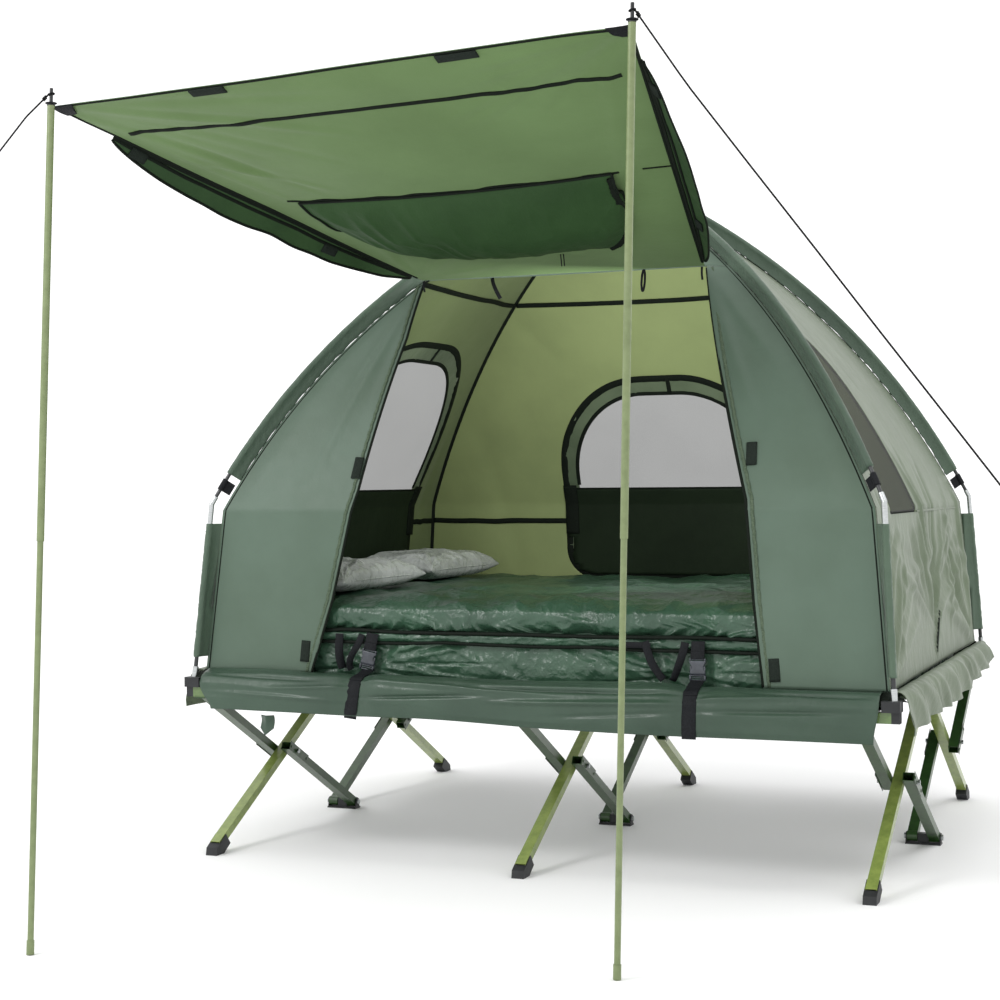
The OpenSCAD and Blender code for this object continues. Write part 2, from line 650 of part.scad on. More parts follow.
// ---------- guy ropes ----------
function unit(v) = v / norm(v);
function rope_dir(p, i) = unit(p[min(i + 1, len(p) - 1)] - p[max(i - 1, 0)]);
function ring(p, i, n) = let (t = rope_dir(p, i), a = unit(cross(t, [0, 1, 0])), b = cross(t, a))
  [for (k = [0 : n - 1]) p[i] + rope_d / 2 * (cos(360 * k / n) * a + sin(360 * k / n) * b)];
module rope(p) {
  n = 8;
  m = len(p);
  polyhedron([for (i = [0 : m - 1]) each ring(p, i, n)], concat(
    [[for (k = [0 : n - 1]) k]],
    [for (i = [0 : m - 2], k = [0 : n - 1]) let (a = i * n + k, b = i * n + (k + 1) % n)
      [a, a + n, b + n, b]],
    [[for (k = [n - 1 : -1 : 0]) (m - 1) * n + k]]));
}
module guy_ropes() { color("#121314") { rope(rope_l); rope(rope_r); } }
module wire_loop(p) {
  translate(p + [0, 0, -13]) rotate([90, 0, 20]) rotate_extrude($fn = 48) translate([10, 0])
    circle(r = 2, $fn = 16);
}
module guy_hooks() {
  color("#9a9ea0") { wire_loop(rope_l[len(rope_l) - 1]); wire_loop(rope_r[len(rope_r) - 1]); }
}

centre_foot_pads();
centre_brackets();
centre_axles();
front_outer_legs();
front_foot_shoes();
middle_rail();
middle_rail_caps();
front_inner_legs();
front_gussets();
front_pivot_bolts();
front_rail();
front_rail_caps();
rear_inner_legs();
rear_gussets();
rear_pivot_bolts();
rear_rail();
rear_rail_caps();
rear_outer_legs();
rear_foot_shoes();
canvas_deck();
end_bars();
corner_blocks();
pole_sockets();
corner_posts();
elbow_tubes();
dome_hoops();
apex_hub();
pole_sleeves();
web_tabs();
front_left_panel();
front_right_panel();
front_roof_panel();
left_wall();
right_wall();
back_wall();
window_meshes();
window_flaps();
tent_floor();
front_skirt();
rear_skirt();
end_skirts();
mattress();
sleeping_bag_base();
sleeping_bag_quilt();
pillows();
lower_straps();
buckle_clips();
left_buckle_socket();
right_buckle_socket();
awning_panel();
rolled_door();
upper_pole_tubes();
pole_tips();
corner_tabs();
guy_ropes();
guy_hooks();
left_lower_tube();
right_lower_tube();
left_pole_foot();
right_pole_foot();
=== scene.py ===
import math

import bmesh
import bpy
import numpy as np
from mathutils import Matrix


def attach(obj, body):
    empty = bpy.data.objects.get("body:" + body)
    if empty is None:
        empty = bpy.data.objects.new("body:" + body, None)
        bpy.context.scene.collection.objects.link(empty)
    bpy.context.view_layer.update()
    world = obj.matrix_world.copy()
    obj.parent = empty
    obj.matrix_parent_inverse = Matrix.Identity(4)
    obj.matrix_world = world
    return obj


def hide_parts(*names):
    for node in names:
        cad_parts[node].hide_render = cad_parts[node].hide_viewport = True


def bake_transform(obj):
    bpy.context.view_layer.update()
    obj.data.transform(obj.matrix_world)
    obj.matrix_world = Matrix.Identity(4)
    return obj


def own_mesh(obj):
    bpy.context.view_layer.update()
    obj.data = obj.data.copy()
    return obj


# A folding double cot that carries a pole tent, with a mattress, a quilted sleeping bag, two
# pillows and an awning on two poles. Everything is in metres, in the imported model's frame.
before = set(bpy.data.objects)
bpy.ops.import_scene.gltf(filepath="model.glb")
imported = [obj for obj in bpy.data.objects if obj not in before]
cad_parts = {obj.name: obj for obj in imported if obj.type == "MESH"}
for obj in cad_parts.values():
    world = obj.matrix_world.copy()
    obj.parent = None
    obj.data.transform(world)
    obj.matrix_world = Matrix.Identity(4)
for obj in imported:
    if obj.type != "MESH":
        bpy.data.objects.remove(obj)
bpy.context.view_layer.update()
PI = math.pi

# ---------------------------------------------------------------- sizes

# Dome: distance out along a hoop's diagonal, against height
SIDE_K = math.sqrt(1.64)  # diagonal distance for each metre along the cot
ACROSS = 0.8  # the tent's width over its length
ARC_OUT, ARC_UP, ARC_R = -0.6495, -0.1030, 2.100
CROWN_UP, CROWN_R = 1.2286, 0.6184
CLOTH_IN = 0.035  # the cloth hangs this far inside the hoops
WALL_LOW, WALL_HALF = 0.495, 0.928
ELBOW_ANGLE, CROWN_ANGLE = math.radians(30), math.radians(64)
POST_FOOT = np.array([0.9426, 0.779, 0.479])
POST_HEAD = np.array([0.913, 0.7304, 0.947])

# Openings
DOOR_TOP = 1.570
DOOR_LEFT = np.array([[-0.606, 0.490], [-0.606, 0.503], [-0.550, 0.691], [-0.489, 0.982],
                      [-0.440, 1.400], [-0.440, 1.570]])
DOOR_RIGHT = np.array([[0.620, 0.490], [0.620, 0.503], [0.594, 0.708], [0.571, 0.951],
                       [0.4355, 1.389], [0.380, 1.570]])
# width, sill, crown, sideways place, sill corner radius
BACK_WINDOW = (0.740, 0.690, 1.330, -0.020, 0.090)
LEFT_WINDOW = (0.960, 0.690, 1.420, 0.040, 0.090)
RIGHT_WINDOW = (0.400, 0.912, 1.410, -0.310, 0.014)
FLAP_TOP = 0.984
BAND = 0.046  # mesh band round a window

# Skirts: distance out and height of the outside, from the wall down to the hem
FRONT_SKIRT = np.array([[0.739, 0.490], [0.756, 0.496], [0.778, 0.494], [0.795, 0.484],
                        [0.806, 0.466], [0.811, 0.440], [0.811, 0.405], [0.806, 0.372]])
END_SKIRT = np.array([[0.929, 0.490], [0.940, 0.497], [0.954, 0.497], [0.968, 0.484],
                      [0.975, 0.462], [0.977, 0.430], [0.975, 0.392]])

# Bedding
BED_LOW, MATTRESS_TOP, BASE_TOP = 0.4611, 0.580, 0.607
STRAP_X = (-0.448, 0.452)
STRAP_W = 0.036

# Awning
HINGE_LEFT = np.array([-0.440, -0.371, 1.570])
HINGE_RIGHT = np.array([0.380, -0.371, 1.570])
CORNER_LEFT = np.array([-0.773, -1.650, 1.847])
CORNER_RIGHT = np.array([0.557, -1.560, 1.922])
TOP_LEFT = np.array([-0.758, -1.675, 1.850])
TOP_RIGHT = np.array([0.568, -1.585, 1.925])
ROPE_D = 0.004
ROPE_LEFT = np.array([[-0.764, -1.676, 1.8695], [-0.820, -1.681, 1.824], [-0.868, -1.687, 1.771],
                      [-0.915, -1.694, 1.718], [-0.960, -1.700, 1.668]])
ROPE_RIGHT = np.array([[0.5742, -1.585, 1.943], [0.680, -1.584, 1.786], [0.804, -1.583, 1.620],
                       [0.928, -1.581, 1.455], [1.052, -1.580, 1.289], [1.177, -1.579, 1.123],
                       [1.303, -1.578, 0.955]])


# ---------------------------------------------------------------- arithmetic on whole arrays

def unit(v):
    """Vectors divided by their own lengths."""
    return v / np.maximum(np.linalg.norm(v, axis=-1, keepdims=True), 1e-12)


def ease(low, high, x):
    """0 below low, 1 above high, and 3t² - 2t³ between them."""
    t = np.clip((x - low) / (high - low), 0, 1)
    return t * t * (3 - 2 * t)


def hills(u, v, seed):
    """Soft relief from -1 to 1: a random height at each whole (u, v), eased between the four nearest."""
    iu, iv = np.floor(u), np.floor(v)
    fu, fv = ease(0, 1, u - iu), ease(0, 1, v - iv)

    def height(i, j):
        h = np.sin(i * 127.1 + j * 311.7 + seed * 74.7) * 43758.5453
        return 2 * (h - np.floor(h)) - 1

    low = height(iu, iv) * (1 - fu) + height(iu + 1, iv) * fu
    high = height(iu, iv + 1) * (1 - fu) + height(iu + 1, iv + 1) * fu
    return low * (1 - fv) + high * fv


def ridges(u, v, seed):
    """Sharp-crested creases, 1 on each crest: one less twice the size of the soft relief."""
    return 1 - 2 * np.abs(hills(u, v, seed))


def crinkle(u, v, seed):
    """Fine crumpled cloth: two sizes of ridge, turned against each other."""
    return (ridges(u * 0.8 + v * 0.6, v * 0.8 - u * 0.6, seed)
            + 0.6 * ridges(2.1 * u - v, 1.9 * v + u, seed + 5)) / 1.6


def folds(a, b, lines):
    """Straight soft folds. Each line is (a0, b0, a1, b1, width, height): the cloth rises by height times
    exp(-(distance / width)²), fading towards both ends of the line."""
    total = np.zeros_like(a)
    for a0, b0, a1, b1, width, height in lines:
        da, db = a1 - a0, b1 - b0
        t = np.clip(((a - a0) * da + (b - b0) * db) / (da * da + db * db), 0, 1)
        gap = np.hypot(a - a0 - t * da, b - b0 - t * db)
        total += height * np.exp(-(gap / width) ** 2) * np.sqrt(np.sin(PI * np.clip(t, 0.02, 0.98)))
    return total


def fan(seed, count, hub, angles, reach, width, height):
    """Lines for folds() that run out of one hub: directions spread evenly over angles, each with its own
    random reach and height, some of them hollows."""
    rng = np.random.default_rng(seed)
    turn = np.radians(np.linspace(*angles, count)) + rng.uniform(-0.08, 0.08, count)
    far = rng.uniform(0.55, 1.0, count) * reach
    rise = rng.uniform(0.5, 1.0, count) * height * np.where(rng.random(count) < 0.35, -0.8, 1)
    start = 0.04 * far
    return [(hub[0] + s * math.cos(t), hub[1] + s * math.sin(t),
             hub[0] + f * math.cos(t), hub[1] + f * math.sin(t), width, r)
            for t, f, r, s in zip(turn, far, rise, start)]


def along(path, steps):
    """Points evenly spaced by distance along a broken line."""
    path = np.asarray(path, float)
    run = np.r_[0, np.cumsum(np.linalg.norm(np.diff(path, axis=0), axis=1))]
    at = np.linspace(0, run[-1], steps)
    return np.stack([np.interp(at, run, path[:, k]) for k in range(path.shape[1])], -1)


def smooth_path(points, steps):
    """A Catmull-Rom curve through the points, then evenly spaced."""
    p = np.asarray(points, float)
    p = np.vstack([2 * p[0] - p[1], p, 2 * p[-1] - p[-2]])
    t = np.linspace(0, 1, 12, endpoint=False)[:, None]
    runs = [0.5 * (2 * b + (c - a) * t + (2 * a - 5 * b + 4 * c - d) * t ** 2
                   + (3 * b - a - 3 * c + d) * t ** 3)
            for a, b, c, d in zip(p, p[1:], p[2:], p[3:])]
    return along(np.vstack([*runs, p[-2:-1]]), steps)


# ---------------------------------------------------------------- meshes

def quads(rows, columns, keep=None):
    """Corner numbers of the cells of a rows × columns grid of points."""
    i = np.arange(rows * columns).reshape(rows, columns)
    cells = np.stack([i[:-1, :-1], i[1:, :-1], i[1:, 1:], i[:-1, 1:]], -1)
    return (cells[keep] if keep is not None else cells).reshape(-1, 4)


def grid(points, uv=None, keep=None):
    """A surface as (points, cells, texture place of each point) from a rows × columns × 3 array."""
    rows, columns = points.shape[:2]
    if uv is None:
        uv = np.zeros((rows, columns, 2))
    return points.reshape(-1, 3), quads(rows, columns, keep), uv.reshape(-1, 2)


def gather(parts):
    """Several surfaces as one."""
    start = np.cumsum([0] + [len(p[0]) for p in parts])
    return (np.vstack([p[0] for p in parts]),
            np.vstack([p[1] + s for p, s in zip(parts, start)]),
            np.vstack([p[2] for p in parts]))


def make(name, surface, finishes, body, nodes=(), centre=None, thick=None):
    """A piece from a surface. Doubled points are merged and stray ones dropped. An open sheet faces away
    from centre, and thick gives it a second side in the next finish; a closed one faces outwards."""
    points, cells, uv = surface
    mesh = bpy.data.meshes.new(name)
    mesh.vertices.add(len(points))
    mesh.vertices.foreach_set("co", np.ascontiguousarray(points, np.float32).ravel())
    mesh.loops.add(cells.size)
    mesh.loops.foreach_set("vertex_index", cells.astype(np.int32).ravel())
    mesh.polygons.add(len(cells))
    mesh.polygons.foreach_set("loop_start", np.arange(0, cells.size, 4, dtype=np.int32))
    mesh.update(calc_edges=True)
    layer = mesh.uv_layers.new(name="cloth")
    layer.data.foreach_set("uv", uv[cells.ravel()].astype(np.float32).ravel())
    work = bmesh.new()
    work.from_mesh(mesh)
    bmesh.ops.delete(work, geom=[v for v in work.verts if not v.link_faces], context="VERTS")
    bmesh.ops.remove_doubles(work, verts=work.verts, dist=1e-5)
    bmesh.ops.dissolve_degenerate(work, edges=work.edges, dist=1e-6)
    if centre is None:
        bmesh.ops.recalc_face_normals(work, faces=work.faces)
    work.to_mesh(mesh)
    work.free()
    if centre is not None:
        n = len(mesh.polygons)
        normals, places = np.empty(n * 3), np.empty(n * 3)
        mesh.polygons.foreach_get("normal", normals)
        mesh.polygons.foreach_get("center", places)
        facing = (normals.reshape(-1, 3) * (places.reshape(-1, 3) - centre)).sum()
        if facing < 0:
            mesh.flip_normals()
    mesh.shade_smooth()
    piece = bpy.data.objects.new(name, mesh)
    bpy.context.scene.collection.objects.link(piece)
    for one in finishes:
        mesh.materials.append(one)
    if thick:
        shell = piece.modifiers.new("thickness", "SOLIDIFY")
        shell.thickness, shell.offset = thick, -1
        shell.material_offset = len(finishes) - 1
    if body:
        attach(piece, body)
    if nodes:
        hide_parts(*nodes)
    return piece


def rings(path, across, up, section, closed=False):
    """A section carried along a path: each (s, t) of the section sits at path + s·across + t·up. The ends
    close to a point, or the last ring meets the first."""
    section = np.asarray(section, float)
    if section.ndim == 2:
        section = np.repeat(section[None], len(path), 0)
    section = np.concatenate([section, section[:, :1]], 1)
    points = path[:, None] + section[..., :1] * across[:, None] + section[..., 1:] * up[:, None]
    if closed:
        return np.concatenate([points, points[:1]])
    caps = [np.repeat(points[i].mean(0)[None], points.shape[1], 0)[None] for i in (0, -1)]
    return np.concatenate([caps[0], points, caps[1]])


def run_uv(points, turns=1.0):
    """Texture places for a carried section: distance round it, and distance along it, in metres."""
    length = np.r_[0, np.cumsum(np.linalg.norm(np.diff(points.mean(1), axis=0), axis=1))]
    around = np.linspace(0, turns, points.shape[1])
    return np.stack(np.broadcast_arrays(around[None], length[:, None]), -1)


def frames(path, hint, closed=False):
    """Unit directions across and up at each point of a path; up is the hint made square to the path."""
    step = np.roll(path, -1, 0) - np.roll(path, 1, 0) if closed else np.gradient(path, axis=0)
    ahead = unit(step)
    hint = np.broadcast_to(hint, path.shape)
    up = unit(hint - (hint * ahead).sum(-1, keepdims=True) * ahead)
    return np.cross(ahead, up), up


def round_section(radius, sides=12):
    """A circle as (s, t) pairs."""
    t = np.linspace(0, 2 * PI, sides, endpoint=False)
    return np.stack([np.cos(t), np.sin(t)], -1) * radius


def tube(path, radius, hint=(0, 0, 1), sides=12, closed=False):
    """A round tube along a path; radius is one number, or one for each point."""
    path = np.asarray(path, float)
    across, up = frames(path, np.asarray(hint, float), closed)
    section = round_section(1, sides)[None] * np.broadcast_to(radius, len(path))[:, None, None]
    points = rings(path, across, up, section, closed)
    return grid(points, run_uv(points, 2 * PI * float(np.mean(radius))))


def tape(path, up, width, thick, closed=False):
    """A flat strap along a path with rounded edges, up being the way its face looks."""
    path = np.asarray(path, float)
    across, up = frames(path, np.asarray(up, float), closed)
    w, t = width / 2, thick / 2
    section = [(-w, 0), (-w + t, -t), (0, -t), (w - t, -t), (w, 0), (w - t, t), (0, t), (-w + t, t)]
    points = rings(path, across, up, section, closed)
    return grid(points, run_uv(points, 2 * width))


# ---------------------------------------------------------------- the tent's shape

def profile_of(z, inset=CLOTH_IN):
    """How far along the cot the cloth is from the middle, at height z: a straight lower wall, then an arc
    about (ARC_OUT, ARC_UP), then a crown arc about (0, CROWN_UP)."""
    r, c = ARC_R - inset, CROWN_R - inset
    z_arc = ARC_UP + r * math.sin(ELBOW_ANGLE)
    z_crown = ARC_UP + r * math.sin(CROWN_ANGLE)
    out_arc = ARC_OUT + r * math.cos(ELBOW_ANGLE)
    low = WALL_HALF * SIDE_K + (out_arc - WALL_HALF * SIDE_K) * (z - WALL_LOW) / (z_arc - WALL_LOW)
    mid = ARC_OUT + np.sqrt(np.maximum(r * r - (z - ARC_UP) ** 2, 0))
    top = np.sqrt(np.maximum(c * c - (z - CROWN_UP) ** 2, 0))
    return np.where(z < z_arc, low, np.where(z < z_crown, mid, top)) / SIDE_K


CLOTH_TOP = CROWN_UP + CROWN_R - CLOTH_IN


def heights(count, low, high):
    """Heights evenly spaced by distance along the cloth's own profile."""
    bend = np.sin(np.linspace(0, PI / 2, 600))
    z = np.unique(np.r_[np.linspace(WALL_LOW, 1.7, 400), 1.7 + (CLOTH_TOP - 1.7) * bend])
    z = z[(z > low) & (z < high)]
    line = np.stack([profile_of(np.r_[low, z, high]), np.r_[low, z, high]], -1)
    return along(line, count)[:, 1]


def on_face(face, a, z, off=0.0):
    """Points on one side of the tent, a metres across it and z up, moved outwards by off."""
    share = 1.0 if face in ("left", "right") else ACROSS
    z = np.clip(z, WALL_LOW - 0.02, CLOTH_TOP - 1e-5)
    slope = share * (profile_of(np.minimum(z + 1e-5, CLOTH_TOP)) - profile_of(z - 1e-5)) / (
        np.minimum(z + 1e-5, CLOTH_TOP) - z + 1e-5)
    size = np.hypot(1, slope)
    out, up = share * profile_of(z) + off / size, z - off * slope / size
    a, out, up = np.broadcast_arrays(a, out, up)
    return np.stack({"back": (a, out, up), "front": (a, -out, up),
                     "right": (out, a, up), "left": (-out, a, up)}[face], -1)


def face_half(face, z):
    """Half the width of one side of the tent at height z."""
    return profile_of(z) * (ACROSS if face in ("left", "right") else 1.0)


def window_line(window, grow=0.0, count=26):
    """An arched window's edge, closed: a rounded sill below and 0.42 of the width as its top corners."""
    w, low, high, middle, r0 = window
    w, low, high, r0 = w + 2 * grow, low - grow, high + grow, max(r0 + grow, 0.004)
    h, r = w / 2, (w - 2 * grow) * 0.42 + grow
    quarter = np.linspace(0, PI / 2, count)
    corners = [(-h + r0, low + r0, r0, PI), (h - r0, low + r0, r0, 1.5 * PI),
               (h - r, high - r, r, 0.0), (-h + r, high - r, r, 0.5 * PI)]
    line = np.vstack([np.stack([a + s * np.cos(t + quarter), b + s * np.sin(t + quarter)], -1)
                      for a, b, s, t in corners])
    line = along(np.vstack([line, line[:1]]), 200)[:-1]
    return line + np.array([middle, 0])


def window_gap(window, grow=0.0, top=9.0):
    """Signed distance from the edge of an arched window, grown by grow and cut off straight at height top:
    negative inside. It is the distance to a box with its own corner radius above and below."""
    w, low, high, middle, r0 = window

    def gap(a, z):
        x, y = np.abs(a - middle), z - (low + high) / 2
        r = np.where(y > 0, 0.42 * w, r0)
        qx, qy = x - w / 2 + r, np.abs(y) - (high - low) / 2 + r
        inner = np.minimum(np.maximum(qx, qy), 0)
        edge = inner + np.hypot(np.maximum(qx, 0), np.maximum(qy, 0)) - r
        return np.maximum(edge - grow, z - top)
    return gap


def cut_to(gap, a, z, cell, inside):
    """Moves the grid's points that are close to an edge onto it, down the slope of the gap, and says which
    cells to keep."""
    g, e = gap(a, z), 1e-4
    slope_a = (gap(a + e, z) - gap(a - e, z)) / (2 * e)
    slope_z = (gap(a, z + e) - gap(a, z - e)) / (2 * e)
    close = np.abs(g) < 0.62 * cell
    a, z = np.where(close, a - g * slope_a, a), np.where(close, z - g * slope_z, z)
    g = np.where(close, 0.0, g)
    middle = (g[:-1, :-1] + g[1:, :-1] + g[1:, 1:] + g[:-1, 1:]) / 4
    return a, z, (middle < 0) if inside else (middle > 0)


# ---------------------------------------------------------------- finishes

def colour(code):
    """A linear colour from a #rrggbb code."""
    c = np.array([int(code[i:i + 2], 16) for i in (1, 3, 5)]) / 255
    return (*np.where(c <= 0.04045, c / 12.92, ((c + 0.055) / 1.055) ** 2.4), 1.0)


def new_finish(name, **sockets):
    """A material whose shader has these constants on its own sockets."""
    material = bpy.data.materials.new(name)
    material.use_nodes = True
    tree = material.node_tree
    shader = tree.nodes["Principled BSDF"]
    for key, value in sockets.items():
        shader.inputs[key.replace("_", " ")].default_value = value
    return material, tree, shader


def node(tree, kind, inputs=(), **settings):
    """A node with its settings, and its inputs given as numbers or as the sockets that feed them."""
    made = tree.nodes.new(kind)
    for key, value in settings.items():
        setattr(made, key, value)
    for key, value in dict(inputs).items():
        if isinstance(value, bpy.types.NodeSocket):
            tree.links.new(value, made.inputs[key])
        else:
            made.inputs[key].default_value = value
    return made


def read(tree, source="Object", stretch=(1, 1, 1), turn=(0, 0, 0)):
    """Coordinates of the piece itself, or of its texture places, stretched and turned."""
    coords = node(tree, "ShaderNodeTexCoord").outputs[source]
    return node(tree, "ShaderNodeMapping", {"Vector": coords, "Scale": stretch, "Rotation": turn}).outputs[0]


def noise(tree, scale, detail=3.0, rough=0.55, at=None):
    """Cloudy noise, 0 to 1."""
    inputs = {"Scale": scale, "Detail": detail, "Roughness": rough, "Vector": at or read(tree)}
    return node(tree, "ShaderNodeTexNoise", inputs).outputs["Fac"]


def crumples(tree, scale, detail=4.0):
    """Ridged noise: the sharp crests of crumpled thin cloth."""
    return node(tree, "ShaderNodeTexNoise", {"Scale": scale, "Detail": detail, "Roughness": 0.55,
                                             "Offset": 0.9, "Gain": 1.6, "Vector": read(tree)},
                noise_type="RIDGED_MULTIFRACTAL").outputs["Fac"]


def threads(tree, pitch, source="UV"):
    """Plain weave: whichever of two crossing sets of threads is higher, pitch metres apart."""
    scale = 0.31416 / pitch
    sets = [node(tree, "ShaderNodeTexWave", {"Scale": scale, "Vector": read(tree, source), "Distortion": 0.4},
                 bands_direction=way).outputs["Fac"] for way in ("X", "Y")]
    return node(tree, "ShaderNodeMath", {0: sets[0], 1: sets[1]}, operation="MAXIMUM").outputs[0]


def between(tree, factor, stops):
    """A colour ramp over a factor: (place, colour code) pairs."""
    ramp = node(tree, "ShaderNodeValToRGB", {"Fac": factor})
    for i, (place, code) in enumerate(stops):
        stop = ramp.color_ramp.elements[i] if i < 2 else ramp.color_ramp.elements.new(place)
        stop.position, stop.color = place, colour(code)
    return ramp.outputs["Color"]


def relief(tree, shader, layers):
    """Bump from several heights, each (socket, depth in metres, strength)."""
    normal = None
    for height, depth, strength in layers:
        inputs = {"Height": height, "Distance": depth, "Strength": strength}
        if normal:
            inputs["Normal"] = normal
        normal = node(tree, "ShaderNodeBump", inputs).outputs[0]
    tree.links.new(normal, shader.inputs["Normal"])


def sheen_range(tree, shader, factor, low, high):
    """Roughness that runs from low to high with a factor."""
    spread = node(tree, "ShaderNodeMapRange", {"Value": factor, "To Min": low, "To Max": high})
    tree.links.new(spread.outputs[0], shader.inputs["Roughness"])


def tent_cloth(name, dark, light, rough=(0.50, 0.62), creases=0.4, **sockets):
    """Coated polyester: close weave, faint cloudy shade and fine handling creases."""
    finish, tree, shader = new_finish(name, **{"Specular_IOR_Level": 0.35, "Sheen_Weight": 0.12,
                                               "Sheen_Roughness": 0.5, **sockets})
    cloudy = noise(tree, 3.5, 5)
    tree.links.new(between(tree, cloudy, [(0.34, dark), (0.66, light)]), shader.inputs["Base Color"])
    sheen_range(tree, shader, noise(tree, 26, 3), *rough)
    fine = noise(tree, 34, 4, 0.62, read(tree, stretch=(1, 1, 0.55)))
    relief(tree, shader, [(threads(tree, 0.0011), 0.0002, 0.12), (fine, 0.0035, creases)])
    return finish


def puffy_satin(name, dark, light, rough=(0.26, 0.40), depth=0.004, **sockets):
    """Thin shiny lining cloth: low roughness, short crumples over soft ones."""
    finish, tree, shader = new_finish(name, **{"Specular_IOR_Level": 0.5, **sockets})
    cloudy = noise(tree, 7, 4)
    tree.links.new(between(tree, cloudy, [(0.32, dark), (0.68, light)]), shader.inputs["Base Color"])
    sheen_range(tree, shader, noise(tree, 40, 2), *rough)
    relief(tree, shader, [(threads(tree, 0.0009), 0.0001, 0.1), (crumples(tree, 34), depth * 0.5, 0.22),
                          (crumples(tree, 12), depth * 1.6, 0.28)])
    return finish


def woven_tape(name, dark, light, rough=0.75):
    """Webbing: ribs along the tape and a fine cross weave."""
    finish, tree, shader = new_finish(name, Roughness=rough, Specular_IOR_Level=0.12)
    ribs = threads(tree, 0.0024)
    fleck = noise(tree, 320, 3)
    tree.links.new(between(tree, fleck, [(0.3, dark), (0.7, light)]), shader.inputs["Base Color"])
    relief(tree, shader, [(ribs, 0.0005, 0.5), (fleck, 0.0003, 0.3)])
    return finish


def painted_tube(name, dark, light, rough=(0.24, 0.36), coat=0.35):
    """Powder paint on metal: even gloss, a faint orange peel and small rubbed marks."""
    finish, tree, shader = new_finish(name, Coat_Weight=coat, Coat_Roughness=0.14, Specular_IOR_Level=0.5)
    rubbed = noise(tree, 42, 6, 0.65)
    tree.links.new(between(tree, rubbed, [(0.30, dark), (0.62, light)]), shader.inputs["Base Color"])
    sheen_range(tree, shader, noise(tree, 90, 3), *rough)
    relief(tree, shader, [(noise(tree, 420, 2), 0.0002, 0.18)])
    return finish


def bare_metal(name, dark, light, rough=(0.22, 0.38)):
    """Turned steel: fine drawn lines and small stains."""
    finish, tree, shader = new_finish(name, Metallic=1.0)
    lines = noise(tree, 60, 5, 0.6, read(tree, stretch=(1, 1, 9)))
    tree.links.new(between(tree, lines, [(0.3, dark), (0.7, light)]), shader.inputs["Base Color"])
    sheen_range(tree, shader, lines, *rough)
    relief(tree, shader, [(lines, 0.0002, 0.15)])
    return finish


def moulded_plastic(name, dark, light, rough=(0.36, 0.52), grain=0.3):
    """Moulded nylon: a fine spark texture and a slight mottle."""
    finish, tree, shader = new_finish(name, Specular_IOR_Level=0.45)
    spark = noise(tree, 700, 3, 0.7)
    tree.links.new(between(tree, noise(tree, 35, 3), [(0.35, dark), (0.65, light)]),
                   shader.inputs["Base Color"])
    sheen_range(tree, shader, spark, *rough)
    relief(tree, shader, [(spark, 0.0003, grain)])
    return finish


def netting(name, thread_colour, cover):
    """Insect mesh: mostly open, so it is seen through, and a little thicker in soft patches."""
    finish, tree, shader = new_finish(name, Roughness=0.7, Specular_IOR_Level=0.2)
    tree.links.new(between(tree, noise(tree, 300, 2), [(0.3, thread_colour), (0.7, thread_colour)]),
                   shader.inputs["Base Color"])
    patch = node(tree, "ShaderNodeMapRange", {"Value": noise(tree, 5, 2), "To Min": cover - 0.02,
                                              "To Max": cover + 0.02})
    tree.links.new(patch.outputs[0], shader.inputs["Alpha"])
    relief(tree, shader, [(threads(tree, 0.0018), 0.0002, 0.3)])
    return finish


shell_outside = tent_cloth("shell_outside", "#4a5c4d", "#526557", (0.42, 0.54), 0.25)
side_outside = tent_cloth("side_outside", "#4f5d45", "#5b6951", (0.40, 0.54), 0.7)
# The inner faces are a lighter, yellower green than the outer ones: painted light that shines through the
# thin walls.
shell_inside_painted_light = tent_cloth("shell_inside_painted_light", "#828f5f", "#8d9a67", (0.60, 0.72), 0.25)
end_inside_painted_light = tent_cloth("end_inside_painted_light", "#627045", "#6c7a4f", (0.60, 0.72), 0.25)
sleeve_cloth = tent_cloth("sleeve_cloth", "#3b4d3f", "#4a5d4c", (0.40, 0.52), 0.9)
# The awning's underside is a brighter, yellower green than its top: painted light that shines through the
# thin cloth.
awning_under_painted_light = tent_cloth("awning_under_painted_light", "#56703f", "#5f7a48", (0.58, 0.70), 0.2)
awning_over = tent_cloth("awning_over", "#556a58", "#5f7462", (0.45, 0.58), 0.2)
awning_band = tent_cloth("awning_band", "#2b4128", "#364f30", (0.50, 0.64), 0.5, Specular_IOR_Level=0.15,
                         Sheen_Weight=0.0)
door_cloth = tent_cloth("door_cloth", "#2a4225", "#324c2c", (0.52, 0.66), 0.6, Specular_IOR_Level=0.12,
                        Sheen_Weight=0.0)
# The flaps' near-black is partly their own dark green and partly painted shade of the dark corner they hang
# in.
flap_cloth_painted_shade = tent_cloth("flap_cloth_painted_shade", "#192317", "#202b1d", (0.6, 0.75), 0.4, Specular_IOR_Level=0.1,
                        Sheen_Weight=0.0)
band_cloth = tent_cloth("band_cloth", "#4c5a44", "#65735a", (0.55, 0.7), 1.0)
# The front and rear skirts are darker than the end skirts: their dark green is partly their own colour and
# partly painted shade, darkened all over for their turned-under lower half.
skirt_cloth = tent_cloth("skirt_cloth", "#2f4235", "#3a4e40", (0.30, 0.44), 0.6, Coat_Weight=0.1,
                         Sheen_Weight=0.0)
floor_cloth = tent_cloth("floor_cloth", "#29372b", "#324234", (0.5, 0.65), 0.3)
deck_cloth = tent_cloth("deck_cloth", "#1c2a1e", "#263527", (0.6, 0.75), 0.3)
bed_satin = puffy_satin("bed_satin", "#2b4535", "#375542", (0.24, 0.40), 0.008)
mattress_satin = puffy_satin("mattress_satin", "#2c4636", "#395743", (0.24, 0.40), 0.008)
pillow_satin = puffy_satin("pillow_satin", "#a4a9a6", "#bbbfbd", (0.22, 0.34), 0.005)
piping = woven_tape("piping", "#0c120d", "#141b15", 0.6)
webbing = woven_tape("webbing", "#131416", "#1f2124", 0.6)
